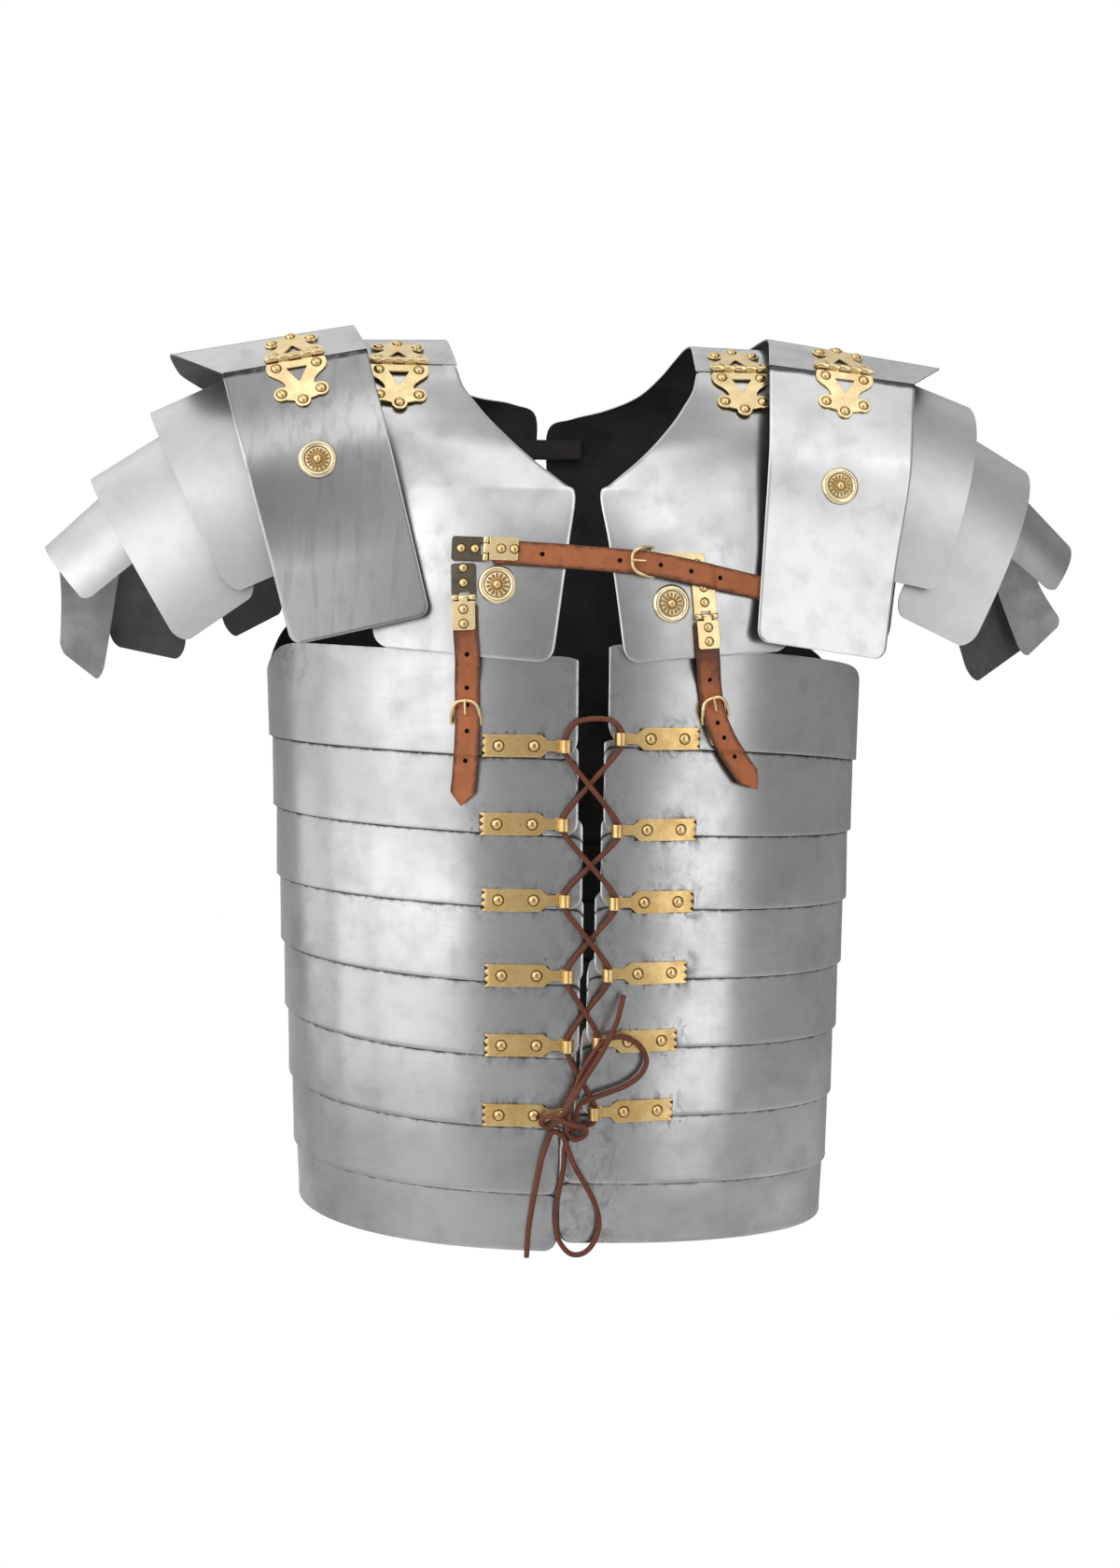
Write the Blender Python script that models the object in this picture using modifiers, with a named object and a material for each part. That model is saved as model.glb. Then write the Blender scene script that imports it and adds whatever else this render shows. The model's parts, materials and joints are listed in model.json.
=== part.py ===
"""Lorica segmentata: segmented plate armour for the torso and shoulders.

Eight C-shaped torso bands, a four-piece collar, hinged upper shoulder guards
and three outer bands over each arm, closed by a lace and three buckled straps.
Metres, +Z up. The front faces -Y. The wearer's right is -X. The origin is
between the shoulders, at the height of the underside of the collar tops.
"""
import math

import bmesh
import bpy
from mathutils import Matrix, Vector

# ---------------------------------------------------------------- driving sizes
SHEET = 0.0012            # steel plate thickness
BRASS = 0.0012            # brass fitting thickness
GAP = 0.0004              # clearance between neighbouring pieces
LEATHER = 0.0024          # strap thickness
STRAP_WIDTH = 0.015
LACE_DIAMETER = 0.0034
OVAL = 2.25               # exponent of the torso's plan outline

SIDES = (("right", -1.0), ("left", 1.0))

# Torso bands: lower edge, half-width and half-depth at the lower edge,
# front opening and where its middle lies, radius of the front corners, and
# how much lower than its sides each half hangs in front.
HOOP_COLUMNS = ("bottom", "half_width", "half_depth", "gap", "middle", "corner", "drop_right", "drop_left")
HOOPS = [
    dict(zip(HOOP_COLUMNS, row))
    for row in (
        (-0.274, 0.2035, 0.1420, 0.0190, 0.0038, 0.012, 0.0015, -0.0080),
        (-0.321, 0.2005, 0.1395, 0.0160, 0.0031, 0.009, 0.0029, 0.0000),
        (-0.368, 0.1980, 0.1375, 0.0115, 0.0042, 0.009, 0.0022, 0.0003),
        (-0.412, 0.1950, 0.1355, 0.0070, 0.0032, 0.009, 0.0062, 0.0008),
        (-0.457, 0.1922, 0.1335, 0.0042, 0.0002, 0.009, 0.0084, 0.0002),
        (-0.503, 0.1892, 0.1310, 0.0022, -0.0024, 0.009, 0.0081, -0.0010),
        (-0.550, 0.1858, 0.1285, 0.0012, -0.0130, 0.009, 0.0041, -0.0035),
        (-0.588, 0.1820, 0.1250, 0.0012, -0.0142, 0.009, 0.0036, -0.0022),
    )
]
ARM_SHARP = 30            # how far out towards the arms it stays level
HOOP_TOP = -0.210         # top edge of the first band at the front
BACK_RISE = 0.022         # how much higher it stands at the back
ARM_DIP = 0.020           # how far that edge drops under the arms
OVERLAP = 0.012           # how far a band reaches up behind the one above
HOOP_STEP = 0.0012        # clearance where two bands overlap
TORSO_MIDDLE = 0.0030     # the torso bands hang this far to the left
TORSO_SLANT = 0.040       # and a little lower on that side

# Lace loops: where the curled end stands on each side, across and up.
TIE_COLUMNS = ("right", "right_z", "left", "left_z")
TIES = [
    dict(zip(TIE_COLUMNS, row))
    for row in (
        (-0.0140, -0.2666, 0.0208, -0.2620),
        (-0.0145, -0.3158, 0.0194, -0.3196),
        (-0.0130, -0.3638, 0.0183, -0.3656),
        (-0.0105, -0.4117, 0.0150, -0.4111),
        (-0.0101, -0.4563, 0.0092, -0.4546),
        (-0.0110, -0.5013, 0.0074, -0.4999),
    )
]
TIE_LENGTH = 0.052        # curled end's axis to the outer end
TIE_WIDTH = 0.014
TIE_NECK = 0.008
CURL = 0.0033             # radius of the curled end's middle line
CURL_TURN = math.radians(285)

# Collar front: each row runs from the neck edge to the outer edge.
ROW = ("x_in", "y_in", "z_in", "x_out", "y_out", "z_out")
BREAST = [
    dict(zip(ROW, row))
    for row in (
        (0.0785, -0.0800, -0.0250, 0.1380, -0.0800, -0.0250),
        (0.0750, -0.0865, -0.0360, 0.1385, -0.0850, -0.0365),
        (0.0675, -0.0945, -0.0475, 0.1388, -0.0905, -0.0485),
        (0.0590, -0.1035, -0.0590, 0.1390, -0.0950, -0.0610),
        (0.0450, -0.1155, -0.0745, 0.1392, -0.1005, -0.0760),
        (0.0330, -0.1228, -0.0860, 0.1394, -0.1050, -0.0890),
        (0.0150, -0.1310, -0.1020, 0.1394, -0.1093, -0.1040),
        (0.0080, -0.1342, -0.1090, 0.1394, -0.1118, -0.1140),
        (0.0122, -0.1419, -0.1380, 0.1390, -0.1173, -0.1400),
        (0.0165, -0.1455, -0.1680, 0.1375, -0.1212, -0.1680),
        (0.0200, -0.1466, -0.1940, 0.1345, -0.1237, -0.1900),
        (0.0228, -0.1468, -0.2150, 0.1310, -0.1250, -0.2060),
    )
]
# Collar top and back: rows from the front hinge line, over the shoulder and
# down the back.
COLLAR = [
    dict(zip(ROW, row))
    for row in (
        (0.0787, -0.0780, -0.0222, 0.1380, -0.0780, -0.0222),
        (0.0800, -0.0635, -0.0140, 0.1385, -0.0635, -0.0140),
        (0.0815, -0.0490, -0.0058, 0.1390, -0.0490, -0.0058),
        (0.0830, -0.0340, 0.0000, 0.1390, -0.0340, -0.0012),
        (0.0840, -0.0150, 0.0024, 0.1390, -0.0150, 0.0004),
        (0.0845, 0.0050, 0.0026, 0.1390, 0.0050, 0.0004),
        (0.0830, 0.0300, -0.0010, 0.1390, 0.0300, -0.0030),
        (0.0770, 0.0600, -0.0100, 0.1390, 0.0580, -0.0120),
        (0.0660, 0.0860, -0.0195, 0.1390, 0.0780, -0.0260),
        (0.0460, 0.1080, -0.0270, 0.1390, 0.0930, -0.0450),
        (0.0220, 0.1220, -0.0325, 0.1390, 0.1030, -0.0660),
        (0.0046, 0.1285, -0.0410, 0.1390, 0.1090, -0.0880),
        (0.0046, 0.1345, -0.0800, 0.1390, 0.1150, -0.1200),
        (0.0046, 0.1400, -0.1250, 0.1385, 0.1200, -0.1550),
        (0.0046, 0.1437, -0.1700, 0.1360, 0.1245, -0.1850),
        (0.0046, 0.1458, -0.2120, 0.1320, 0.1275, -0.2120),
    )
]
COLLAR_BOW = 1.8          # how the collar's depth falls off towards the arm
NAPE_LIFT = {"right": 0.010, "left": 0.0}

# Upper shoulder guard.
GUARD_REACH = 0.093       # hinge lines stand this far before and behind the crest
GUARD_RISE = 0.0215       # crest above the hinge lines
GUARD_BEND = 0.058        # where the top leaf bends down towards its hinges
GUARD_BEND_SOFT = 0.006
LEAF_LENGTH = 0.176       # front and back leaves, measured down
LEAF_BEND = 0.055
LEAF_BEND_SOFT = 0.007
LEAF_SLOPES = (0.48, 0.180)           # outward run per drop, above and below the bend
LEAF_GAP = 0.0022         # hinge line to the leaf's upper edge
LEAF_CORNER = 0.008
BACK_LEAF_DEPTH = 0.002   # the back leaf stands this much nearer the body

# Corners of the guards as they hang, x from the middle and z: the hinge
# line's ends, the crest's ends and the front and back leaves' feet.
GUARD_COLUMNS = ("edge_in", "edge_out", "crest_in", "crest_out", "foot_in", "foot_out")
GUARDS = {
    "right": dict(zip(GUARD_COLUMNS, (
        (0.1370, -0.0155), (0.2280, -0.0335), (0.1460, 0.0070), (0.2655, -0.0155),
        (0.0985, -0.1856), (0.1836, -0.2055),
    ))),
    "left": dict(zip(GUARD_COLUMNS, (
        (0.1245, -0.0190), (0.2225, -0.0290), (0.1325, 0.0055), (0.2545, -0.0115),
        (0.1075, -0.2000), (0.1935, -0.2115),
    ))),
}

# Outer arm bands: edges at the crest, at the front end and at the back end.
BAND_COLUMNS = (
    "crest_in", "crest_out", "front_in", "front_out", "back_in", "back_out",
    "front_reach", "back_reach",
)
BANDS = {
    "right": [dict(zip(BAND_COLUMNS, row)) for row in (
        ((0.2190, -0.0215), (0.2795, -0.0505), (0.1750, -0.1527), (0.2219, -0.1737),
         (0.1910, -0.1800), (0.2326, -0.2021), 0.108, 0.106),
        ((0.2600, -0.0570), (0.3182, -0.0950), (0.2040, -0.1715), (0.2537, -0.2063),
         (0.2639, -0.2177), (0.3180, -0.2065), 0.101, 0.100),
        ((0.2990, -0.0945), (0.3478, -0.1404), (0.2800, -0.1490), (0.3154, -0.1788),
         (0.3225, -0.2338), (0.3519, -0.2106), 0.074, 0.088),
    )],
    "left": [dict(zip(BAND_COLUMNS, row)) for row in (
        ((0.2250, -0.0120), (0.2810, -0.0327), (0.1890, -0.1570), (0.2371, -0.1665),
         (0.2220, -0.1850), (0.2660, -0.2025), 0.108, 0.106),
        ((0.2680, -0.0440), (0.3240, -0.0761), (0.2070, -0.1800), (0.2601, -0.2048),
         (0.3299, -0.2323), (0.3750, -0.2003), 0.101, 0.100),
        ((0.3100, -0.0830), (0.3540, -0.1271), (0.2920, -0.1380), (0.3273, -0.1658),
         (0.3667, -0.2120), (0.3973, -0.1830), 0.074, 0.088),
    )],
}
BAND_SQUARE = 0.86        # below 1 squares the arch's shoulders
BAND_CORNER = 0.007

# Lobed hinges, half outline of one leaf: across and down from the pin.
HINGE_WIDTH = 0.037
COLLAR_HINGE_AT = {"right": 0.638, "left": 0.490}
PIN_RADIUS = 0.0008
KNUCKLE_RADIUS = 0.0021
KNUCKLE_BORE = 0.0011
KNUCKLES = 5
LOBE_RADIUS = 0.0050
LOBE_COLUMNS = ("across", "down")
SHOULDER_OF_LEAF = ((0.0185, 0.0030), (0.0190, 0.0080), (0.0165, 0.0118), (0.0098, 0.0160), (0.0088, 0.0190))
LOBES = ((0.0125, 0.0262), (0.0, 0.0322))

ROSETTE_RADIUS = 0.0122
ROSETTE_DOME = 0.0032

COLOUR = {
    "steel": ((0.62, 0.62, 0.63, 1), 0.32, 1.0),
    "brass": ((0.78, 0.60, 0.30, 1), 0.28, 1.0),
    "leather": ((0.28, 0.11, 0.05, 1), 0.60, 0.0),
    "lace": ((0.15, 0.05, 0.03, 1), 0.70, 0.0),
    "dark_leather": ((0.03, 0.025, 0.02, 1), 0.65, 0.0),
}


# ---------------------------------------------------------------- scene set-up
for old in list(bpy.data.objects):
    bpy.data.objects.remove(old, do_unlink=True)
scene = bpy.context.scene
parts = bpy.data.collections.new("lorica_segmentata")
cutters = bpy.data.collections.new("cutters")
scene.collection.children.link(parts)
scene.collection.children.link(cutters)


def material(kind):
    found = bpy.data.materials.get(kind)
    if found:
        return found
    colour, roughness, metallic = COLOUR[kind]
    made = bpy.data.materials.new(kind)
    made.use_nodes = True
    shader = made.node_tree.nodes["Principled BSDF"]
    shader.inputs["Base Color"].default_value = colour
    shader.inputs["Roughness"].default_value = roughness
    shader.inputs["Metallic"].default_value = metallic
    return made


def add_mesh(name, bm, kind, collection=None):
    mesh = bpy.data.meshes.new(name)
    bm.to_mesh(mesh)
    bm.free()
    made = bpy.data.objects.new(name, mesh)
    made.data.materials.append(material(kind))
    (collection or parts).objects.link(made)
    return made


# ---------------------------------------------------------------- small maths
def mix(a, b, t):
    return a + (b - a) * t


def softplus(value, width):
    if value > 30 * width:
        return value
    return width * math.log1p(math.exp(value / width))


def smooth_step(value):
    value = min(1.0, max(0.0, value))
    return value * value * (3 - 2 * value)


def catmull(values, position):
    """Value at a fractional index of a list, along a smooth curve."""
    last = len(values) - 1
    i = min(int(position), last - 1)
    t = position - i
    p1, p2 = values[i], values[i + 1]
    p0 = values[i - 1] if i > 0 else 2 * p1 - p2
    p3 = values[i + 2] if i + 2 <= last else 2 * p2 - p1
    return 0.5 * (
        2 * p1 + (p2 - p0) * t + (2 * p0 - 5 * p1 + 4 * p2 - p3) * t * t
        + (3 * p1 - p0 - 3 * p2 + p3) * t ** 3
    )


def signed_power(value, power):
    return math.copysign(abs(value) ** power, value)


# ---------------------------------------------------------------- surfaces
def loft(rows, bow):
    """A point of a plate from its table: u from the inner to the outer edge,
    v from the first row to the last."""
    columns = {name: [row[name] for row in rows] for name in ROW}

    def point(u, v):
        at = v * (len(rows) - 1)
        c = {name: catmull(columns[name], at) for name in ROW}
        return Vector((
            mix(c["x_in"], c["x_out"], u),
            mix(c["y_in"], c["y_out"], u ** bow),
            mix(c["z_in"], c["z_out"], u),
        ))

    return point


breast = loft(BREAST, COLLAR_BOW)
collar = loft(COLLAR, COLLAR_BOW)


def collar_back(u, v, side):
    """The collar's top and back; the nape's edge stands higher on one side."""
    name, sign = side
    p = collar(u, v)
    lift = NAPE_LIFT[name] * (1 - u) * smooth_step((v - 0.48) / 0.20) * (1 - smooth_step((v - 0.78) / 0.20))
    return Vector((sign * p.x, p.y, p.z + lift))


def torso_size(index, v):
    """Half-width and half-depth of a torso band at v, 0 its top, 1 its bottom."""
    low = HOOPS[index]
    if index == 0:
        return low["half_width"] + 0.0015 * (1 - v), low["half_depth"] + 0.0002 * (1 - v)
    inside = SHEET + HOOP_STEP
    above = HOOPS[index - 1]
    reach = OVERLAP / (above["bottom"] + OVERLAP - low["bottom"])
    width_top, depth_top = above["half_width"] - inside, above["half_depth"] - inside
    t = smooth_step((v - reach) / (1 - reach)) if v > reach else 0.0
    return mix(width_top, low["half_width"], t), mix(depth_top, low["half_depth"], t)


def torso_top(index, turn):
    if index == 0:
        rise = BACK_RISE * smooth_step(-1.6 * math.cos(turn))
        return HOOP_TOP + rise - ARM_DIP * abs(math.sin(turn)) ** ARM_SHARP
    return HOOPS[index - 1]["bottom"] + OVERLAP


def front_drop(index, x):
    """How much lower than its sides a torso band hangs in front."""
    hoop = HOOPS[index]
    along = min(1.0, abs(x - TORSO_MIDDLE) / hoop["half_width"])
    return hoop["drop_right" if x < hoop["middle"] else "drop_left"] * (1 - along ** 4)


def torso_point(index, turn, v):
    """turn runs from the middle of the front, towards +X, round the back."""
    a, b = torso_size(index, v)
    top = torso_top(index, turn)
    x = a * signed_power(math.sin(turn), 2 / OVAL)
    drop = front_drop(index, TORSO_MIDDLE + x) if math.cos(turn) > 0 else 0.0
    return Vector((
        TORSO_MIDDLE + x,
        -b * signed_power(math.cos(turn), 2 / OVAL),
        mix(top, HOOPS[index]["bottom"], v) - TORSO_SLANT * x - drop,
    ))


def turn_at(index, x, v=1.0):
    """The turn on the front half where a torso band has this x."""
    a, _ = torso_size(index, v)
    return math.asin(signed_power((x - TORSO_MIDDLE) / a, OVAL / 2))


def band_at(x, z):
    level = z + TORSO_SLANT * (x - TORSO_MIDDLE)
    for index, hoop in enumerate(HOOPS):
        if level + front_drop(index, x) >= hoop["bottom"]:
            return index
    return len(HOOPS) - 1


def torso_front(x, z, index=None):
    """Depth of the torso's outer front surface at x and z."""
    index = band_at(x, z) if index is None else index
    level = z + TORSO_SLANT * (x - TORSO_MIDDLE) + front_drop(index, x)
    top = torso_top(index, 0.0)
    v = min(1.0, max(0.0, (top - level) / (top - HOOPS[index]["bottom"])))
    a, b = torso_size(index, v)
    return -b * (1 - (abs(x - TORSO_MIDDLE) / a) ** OVAL) ** (1 / OVAL)


def breast_front(x, z):
    """Depth of the breast plates' outer surface at x and z."""
    low, high = 0.0, 1.0
    for _ in range(24):
        v = (low + high) / 2
        edge_in, edge_out = breast(0, v), breast(1, v)
        u = min(1.0, max(0.0, (abs(x) - edge_in.x) / (edge_out.x - edge_in.x)))
        if breast(u, v).z > z:
            low = v
        else:
            high = v
    return breast(u, v).y


def front_depth(x, z):
    """Outer surface in front: the breast plates, then the torso bands."""
    foot = BREAST[-1]["z_in"]
    if z > foot + 0.004:
        return breast_front(x, z)
    t = smooth_step((foot + 0.004 - z) / 0.020)
    return mix(breast_front(x, foot + 0.004), torso_front(x, min(z, HOOP_TOP - 0.006)), t)


def guard_drop(y):
    """How far the top leaf has fallen from its crest at this depth."""
    bend = 0.595 * softplus(abs(y) - GUARD_BEND, GUARD_BEND_SOFT)
    scale = (GUARD_RISE - 0.0012) / (0.595 * softplus(GUARD_REACH - GUARD_BEND, GUARD_BEND_SOFT))
    return bend * scale + 0.0012 * (y / GUARD_REACH) ** 2


def guard_top(u, v, side):
    """Top leaf: u from the neck outwards, v from the front to the back."""
    name, sign = side
    guard = GUARDS[name]
    y = mix(-GUARD_REACH, GUARD_REACH, v)
    t = guard_drop(y) / GUARD_RISE
    edge = []
    for end in ("in", "out"):
        (cx, cz), (ex, ez) = guard["crest_" + end], guard["edge_" + end]
        edge.append((mix(cx, ex, t), mix(cz, ez, t)))
    return Vector((sign * mix(edge[0][0], edge[1][0], u), y, mix(edge[0][1], edge[1][1], u)))


def leaf_point(u, v, side, front=True):
    """Front or back leaf: u from the neck outwards, v from the hinge down."""
    name, sign = side
    guard = GUARDS[name]
    drop = v * LEAF_LENGTH
    steep, flat = LEAF_SLOPES
    run = steep * drop - (steep - flat) * softplus(drop - LEAF_BEND, LEAF_BEND_SOFT)
    depth = GUARD_REACH + 0.0012 + run - 0.010 * u * smooth_step((drop - 0.05) / 0.08)
    if not front:
        depth -= BACK_LEAF_DEPTH * smooth_step(drop / 0.12)
    edge = []
    for end in ("in", "out"):
        (ex, ez), (fx, fz) = guard["edge_" + end], guard["foot_" + end]
        edge.append((mix(ex, fx, v), mix(ez - LEAF_GAP, fz, v)))
    return Vector((sign * mix(edge[0][0], edge[1][0], u), -depth if front else depth, mix(edge[0][1], edge[1][1], u)))


def band_point(index, u, v, side):
    """Outer arm band: u from its inner to its outer edge, v from its front end
    over the arm to its back end."""
    name, sign = side
    band = BANDS[name][index]
    swing = (v * 2 - 1) * math.pi / 2
    end = "front" if swing < 0 else "back"
    fall = 1 - abs(math.cos(swing)) ** BAND_SQUARE
    reach = band[end + "_reach"]
    edge = []
    for at in ("in", "out"):
        cx, cz = band["crest_" + at]
        ex, ez = band[end + "_" + at]
        edge.append((mix(cx, ex, fall), mix(cz, ez, fall)))
    x, z = mix(edge[0][0], edge[1][0], u), mix(edge[0][1], edge[1][1], u)
    y = reach * signed_power(math.sin(swing), BAND_SQUARE)
    return Vector((sign * x, y, z))


# ---------------------------------------------------------------- shells
def steps(count, ends=(0.0, 0.0)):
    """Positions from 0 to 1, with extra ones inside the rounded ends."""
    first, last = ends
    inner = [mix(first, 1 - last, i / count) for i in range(count + 1)]
    head = [first * t for t in (0.0, 0.12, 0.45)] if first else []
    tail = [1 - last * t for t in (0.45, 0.12, 0.0)] if last else []
    return head + inner + tail


def sheet(name, surface, us, vs, kind, thickness=SHEET, outward=None, v_limits=None):
    """A plate: a grid laid on a surface, thickened away from its outer face.
    v_limits(u) gives the ends of v where the outline's corners are rounded."""
    bm = bmesh.new()
    nu, nv = len(us) - 1, len(vs) - 1
    bmesh.ops.create_grid(bm, x_segments=nu, y_segments=nv, size=0.5)
    for vert in bm.verts:
        i, j = round((vert.co.x + 0.5) * nu), round((vert.co.y + 0.5) * nv)
        u, v = us[i], vs[j]
        if v_limits:
            low, high = v_limits(u)
            v = mix(low, high, v)
        vert.co = surface(u, v)
    bm.normal_update()
    total = sum((f.normal.dot(outward(f.calc_center_median())) * f.calc_area() for f in bm.faces))
    if total < 0:
        bmesh.ops.reverse_faces(bm, faces=bm.faces[:])
    made = add_mesh(name, bm, kind)
    shell = made.modifiers.new("thickness", "SOLIDIFY")
    shell.thickness = thickness
    shell.offset = -1.0
    shell.use_even_offset = True
    return made


def rounded(length_u, length_v, radius, corners=(True, True, True, True)):
    """Limits of v for rounded corners: (u0 v0), (u1 v0), (u0 v1), (u1 v1)."""

    def limits(u):
        cut = [0.0, 0.0]
        for at_one, along in ((False, u * length_u), (True, (1 - u) * length_u)):
            if along < radius:
                trim = radius - math.sqrt(max(0.0, radius ** 2 - (radius - along) ** 2))
                for k in (0, 1):
                    if corners[k * 2 + (1 if at_one else 0)]:
                        cut[k] = max(cut[k], trim / length_v)
        return cut[0], 1 - cut[1]

    return limits


def away_from(x, y, z, flat=False):
    def direction(p):
        d = Vector((p.x - x, p.y - y, 0 if flat else p.z - z))
        return d

    return direction


# Torso bands. All bands share the turns of their columns, so neighbouring
# bands stay parallel where they overlap.
FRONT_FREE = 0.036        # columns nearer the opening than this belong to one band
COLUMNS = 34
start = turn_at(3, FRONT_FREE)
stop = 2 * math.pi - start
fine = [torso_point(3, mix(start, stop, k / 1000), 0.6) for k in range(1001)]
run = [0.0]
for p, q in zip(fine, fine[1:]):
    run.append(run[-1] + (q - p).length)
shared_turns = []
for c in range(COLUMNS + 1):
    target = run[-1] * c / COLUMNS
    k = min(range(1001), key=lambda i: abs(run[i] - target))
    shared_turns.append(mix(start, stop, k / 1000))

for index, hoop in enumerate(HOOPS):
    radius = hoop["corner"]
    x_left = hoop["middle"] + hoop["gap"] / 2
    x_right = hoop["middle"] - hoop["gap"] / 2
    end_steps = [radius * t for t in (0.0, 0.06, 0.25, 0.55, 1.0)]
    turns = [turn_at(index, x_left + d) for d in end_steps]
    turns += shared_turns
    turns += [2 * math.pi + turn_at(index, x_right - d) for d in reversed(end_steps)]
    height = torso_top(index, 0.0) - hoop["bottom"]

    def limits(turn, hoop=hoop, index=index, radius=radius, height=height, x_left=x_left, x_right=x_right):
        x = torso_point(index, turn, 1.0).x
        front = math.cos(turn) > 0
        along = min(abs(x - x_left), abs(x - x_right)) if front else 1.0
        if along >= radius:
            return 0.0, 1.0
        trim = (radius - math.sqrt(radius ** 2 - (radius - along) ** 2)) / height
        return trim, 1 - trim

    sheet(
        f"girth_hoop_{index + 1}",
        lambda turn, v, index=index: torso_point(index, turn, v),
        turns, (0.0, 1.0), "steel",
        outward=away_from(0, 0, 0, flat=True), v_limits=limits,
    )


# Collar plates.
for side in SIDES:
    name, sign = side
    mirrored = Vector((sign, 1, 1))
    sheet(
        f"breast_plate_{name}", lambda u, v: breast(u, v) * mirrored,
        steps(4, (0.07, 0.07)), [i / 11 for i in range(12)], "steel",
        outward=away_from(0, 0.0, -0.25),
        v_limits=rounded(0.110, 0.20, 0.009, (False, False, True, True)),
    )
    sheet(
        f"collar_back_plate_{name}", lambda u, v: collar_back(u, v, side),
        steps(5), [i / 14 for i in range(15)], "steel",
        outward=away_from(0, 0.0, -0.25),
    )

    # Upper shoulder guard: top, front and back leaves.
    sheet(
        f"shoulder_guard_top_{name}", lambda u, v: guard_top(u, v, side),
        steps(3), [i / 12 for i in range(13)], "steel",
        outward=lambda p: Vector((0, 0, 1)),
    )
    for end, front in (("front", True), ("back", False)):
        sheet(
            f"shoulder_guard_{end}_{name}", lambda u, v, front=front: leaf_point(u, v, side, front),
            steps(2, (0.08, 0.08)), [i / 8 for i in range(9)], "steel",
            outward=lambda p, front=front: Vector((0, -1 if front else 1, 0.2)),
            v_limits=rounded(0.100, LEAF_LENGTH, LEAF_CORNER, (False, False, True, True)),
        )

    # Outer arm bands.
    for index in range(len(BANDS[name])):
        low, high = (0.0, 1.0)
        us = steps(1, (0.14, 0.14))
        sheet(
            f"lesser_guard_{index + 1}_{name}",
            lambda u, v, index=index: band_point(index, u, v, side),
            us, [i / 12 for i in range(13)], "steel",
            outward=away_from(sign * 0.20, 0.0, -0.20),
            v_limits=rounded(0.050, 0.33, BAND_CORNER),
        )


# ---------------------------------------------------------------- laid-on parts
def laid_on(surface, u, v, du=0.02, dv=0.02, outward=Vector((0, -1, 0)), across=None):
    """Frame on a surface: origin, across, down and outward directions."""
    here = surface(u, v)
    a = surface(u + du, v) - surface(u - du, v)
    b = surface(u, v + dv) - surface(u, v - dv)
    n = a.cross(b).normalized()
    if n.dot(outward) < 0:
        n = -n
    if across is not None:
        a = Vector(across)
    a = (a - n * a.dot(n)).normalized()
    down = b - n * b.dot(n)
    down = (down - a * down.dot(a)).normalized()
    return here, a, down, n


def frame_matrix(origin, across, down, out):
    """Local x across, local y down, local z out of the surface."""
    m = Matrix.Identity(4)
    for i, axis in enumerate((across, down, out)):
        for k in range(3):
            m[k][i] = axis[k]
    m.translation = origin
    return m


def clearance(surface, frame, reach_across, reach_down):
    """How far the surface rises above the frame's plane within its reach."""
    origin, across, down, out = frame
    highest = 0.0
    for i in range(41):
        for j in range(41):
            p = surface(i / 40, j / 40) - origin
            a, d = p.dot(across), p.dot(down)
            if reach_across[0] <= a <= reach_across[1] and reach_down[0] <= d <= reach_down[1]:
                highest = max(highest, p.dot(out))
    return highest


def slab(bm, outline, low, high):
    """A flat outline made solid between two heights."""
    verts = [bm.verts.new((x, y, low)) for x, y in outline]
    face = bm.faces.new(verts)
    if face.normal.length == 0:
        face.normal_update()
    lifted = bmesh.ops.extrude_face_region(bm, geom=[face])
    bmesh.ops.translate(
        bm, verts=[g for g in lifted["geom"] if isinstance(g, bmesh.types.BMVert)], vec=(0, 0, high - low)
    )
    bmesh.ops.recalc_face_normals(bm, faces=bm.faces[:])


def knuckle_span(k):
    pitch = HINGE_WIDTH / KNUCKLES
    start = -HINGE_WIDTH / 2 + k * pitch + (0.00018 if k else 0)
    end = -HINGE_WIDTH / 2 + (k + 1) * pitch - (0.00018 if k < KNUCKLES - 1 else 0)
    return start, end


def leaf_outline(knuckles, clear=0.0027):
    """Outline of one lobed hinge leaf, with a tongue up to each of its knuckles."""
    half = [(a, d) for a, d in SHOULDER_OF_LEAF]
    (sa, sd), (ba, bd) = LOBES
    half += [
        (sa + LOBE_RADIUS * math.cos(t), sd + LOBE_RADIUS * math.sin(t))
        for t in [math.radians(d) for d in (-75, -30, 15, 60, 100)]
    ]
    half += [
        (ba + LOBE_RADIUS * math.cos(t), bd + LOBE_RADIUS * math.sin(t))
        for t in [math.radians(d) for d in (20, 60)]
    ]
    half.append((0.0, bd + LOBE_RADIUS))
    edge = SHOULDER_OF_LEAF[0]
    tongues = []
    for k in knuckles:
        start, end = knuckle_span(k)
        start, end = max(start, -edge[0]), min(end, edge[0])
        tongues += [(start, clear), (start, 0.0), (end, 0.0), (end, clear)]
    top = [(-edge[0], clear)] + tongues + [(edge[0], clear)]
    cleaned = []
    for p in top + half + [(-a, d) for a, d in reversed(half[:-1])]:
        if not cleaned or math.dist(p, cleaned[-1]) > 0.00005:
            cleaned.append(p)
    if math.dist(cleaned[0], cleaned[-1]) < 0.00005:
        cleaned.pop()
    return cleaned


def cylinder(bm, radius, start, end, sides=8, axis="X"):
    made = bmesh.ops.create_cone(
        bm, cap_ends=True, segments=sides, radius1=radius, radius2=radius, depth=end - start
    )
    turn = Matrix.Rotation(math.pi / 2, 4, "Y") if axis == "X" else Matrix.Identity(4)
    offset = Matrix.Translation(((start + end) / 2, 0, 0)) if axis == "X" else Matrix.Translation((0, 0, (start + end) / 2))
    bmesh.ops.transform(bm, matrix=offset @ turn, verts=made["verts"])


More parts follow.
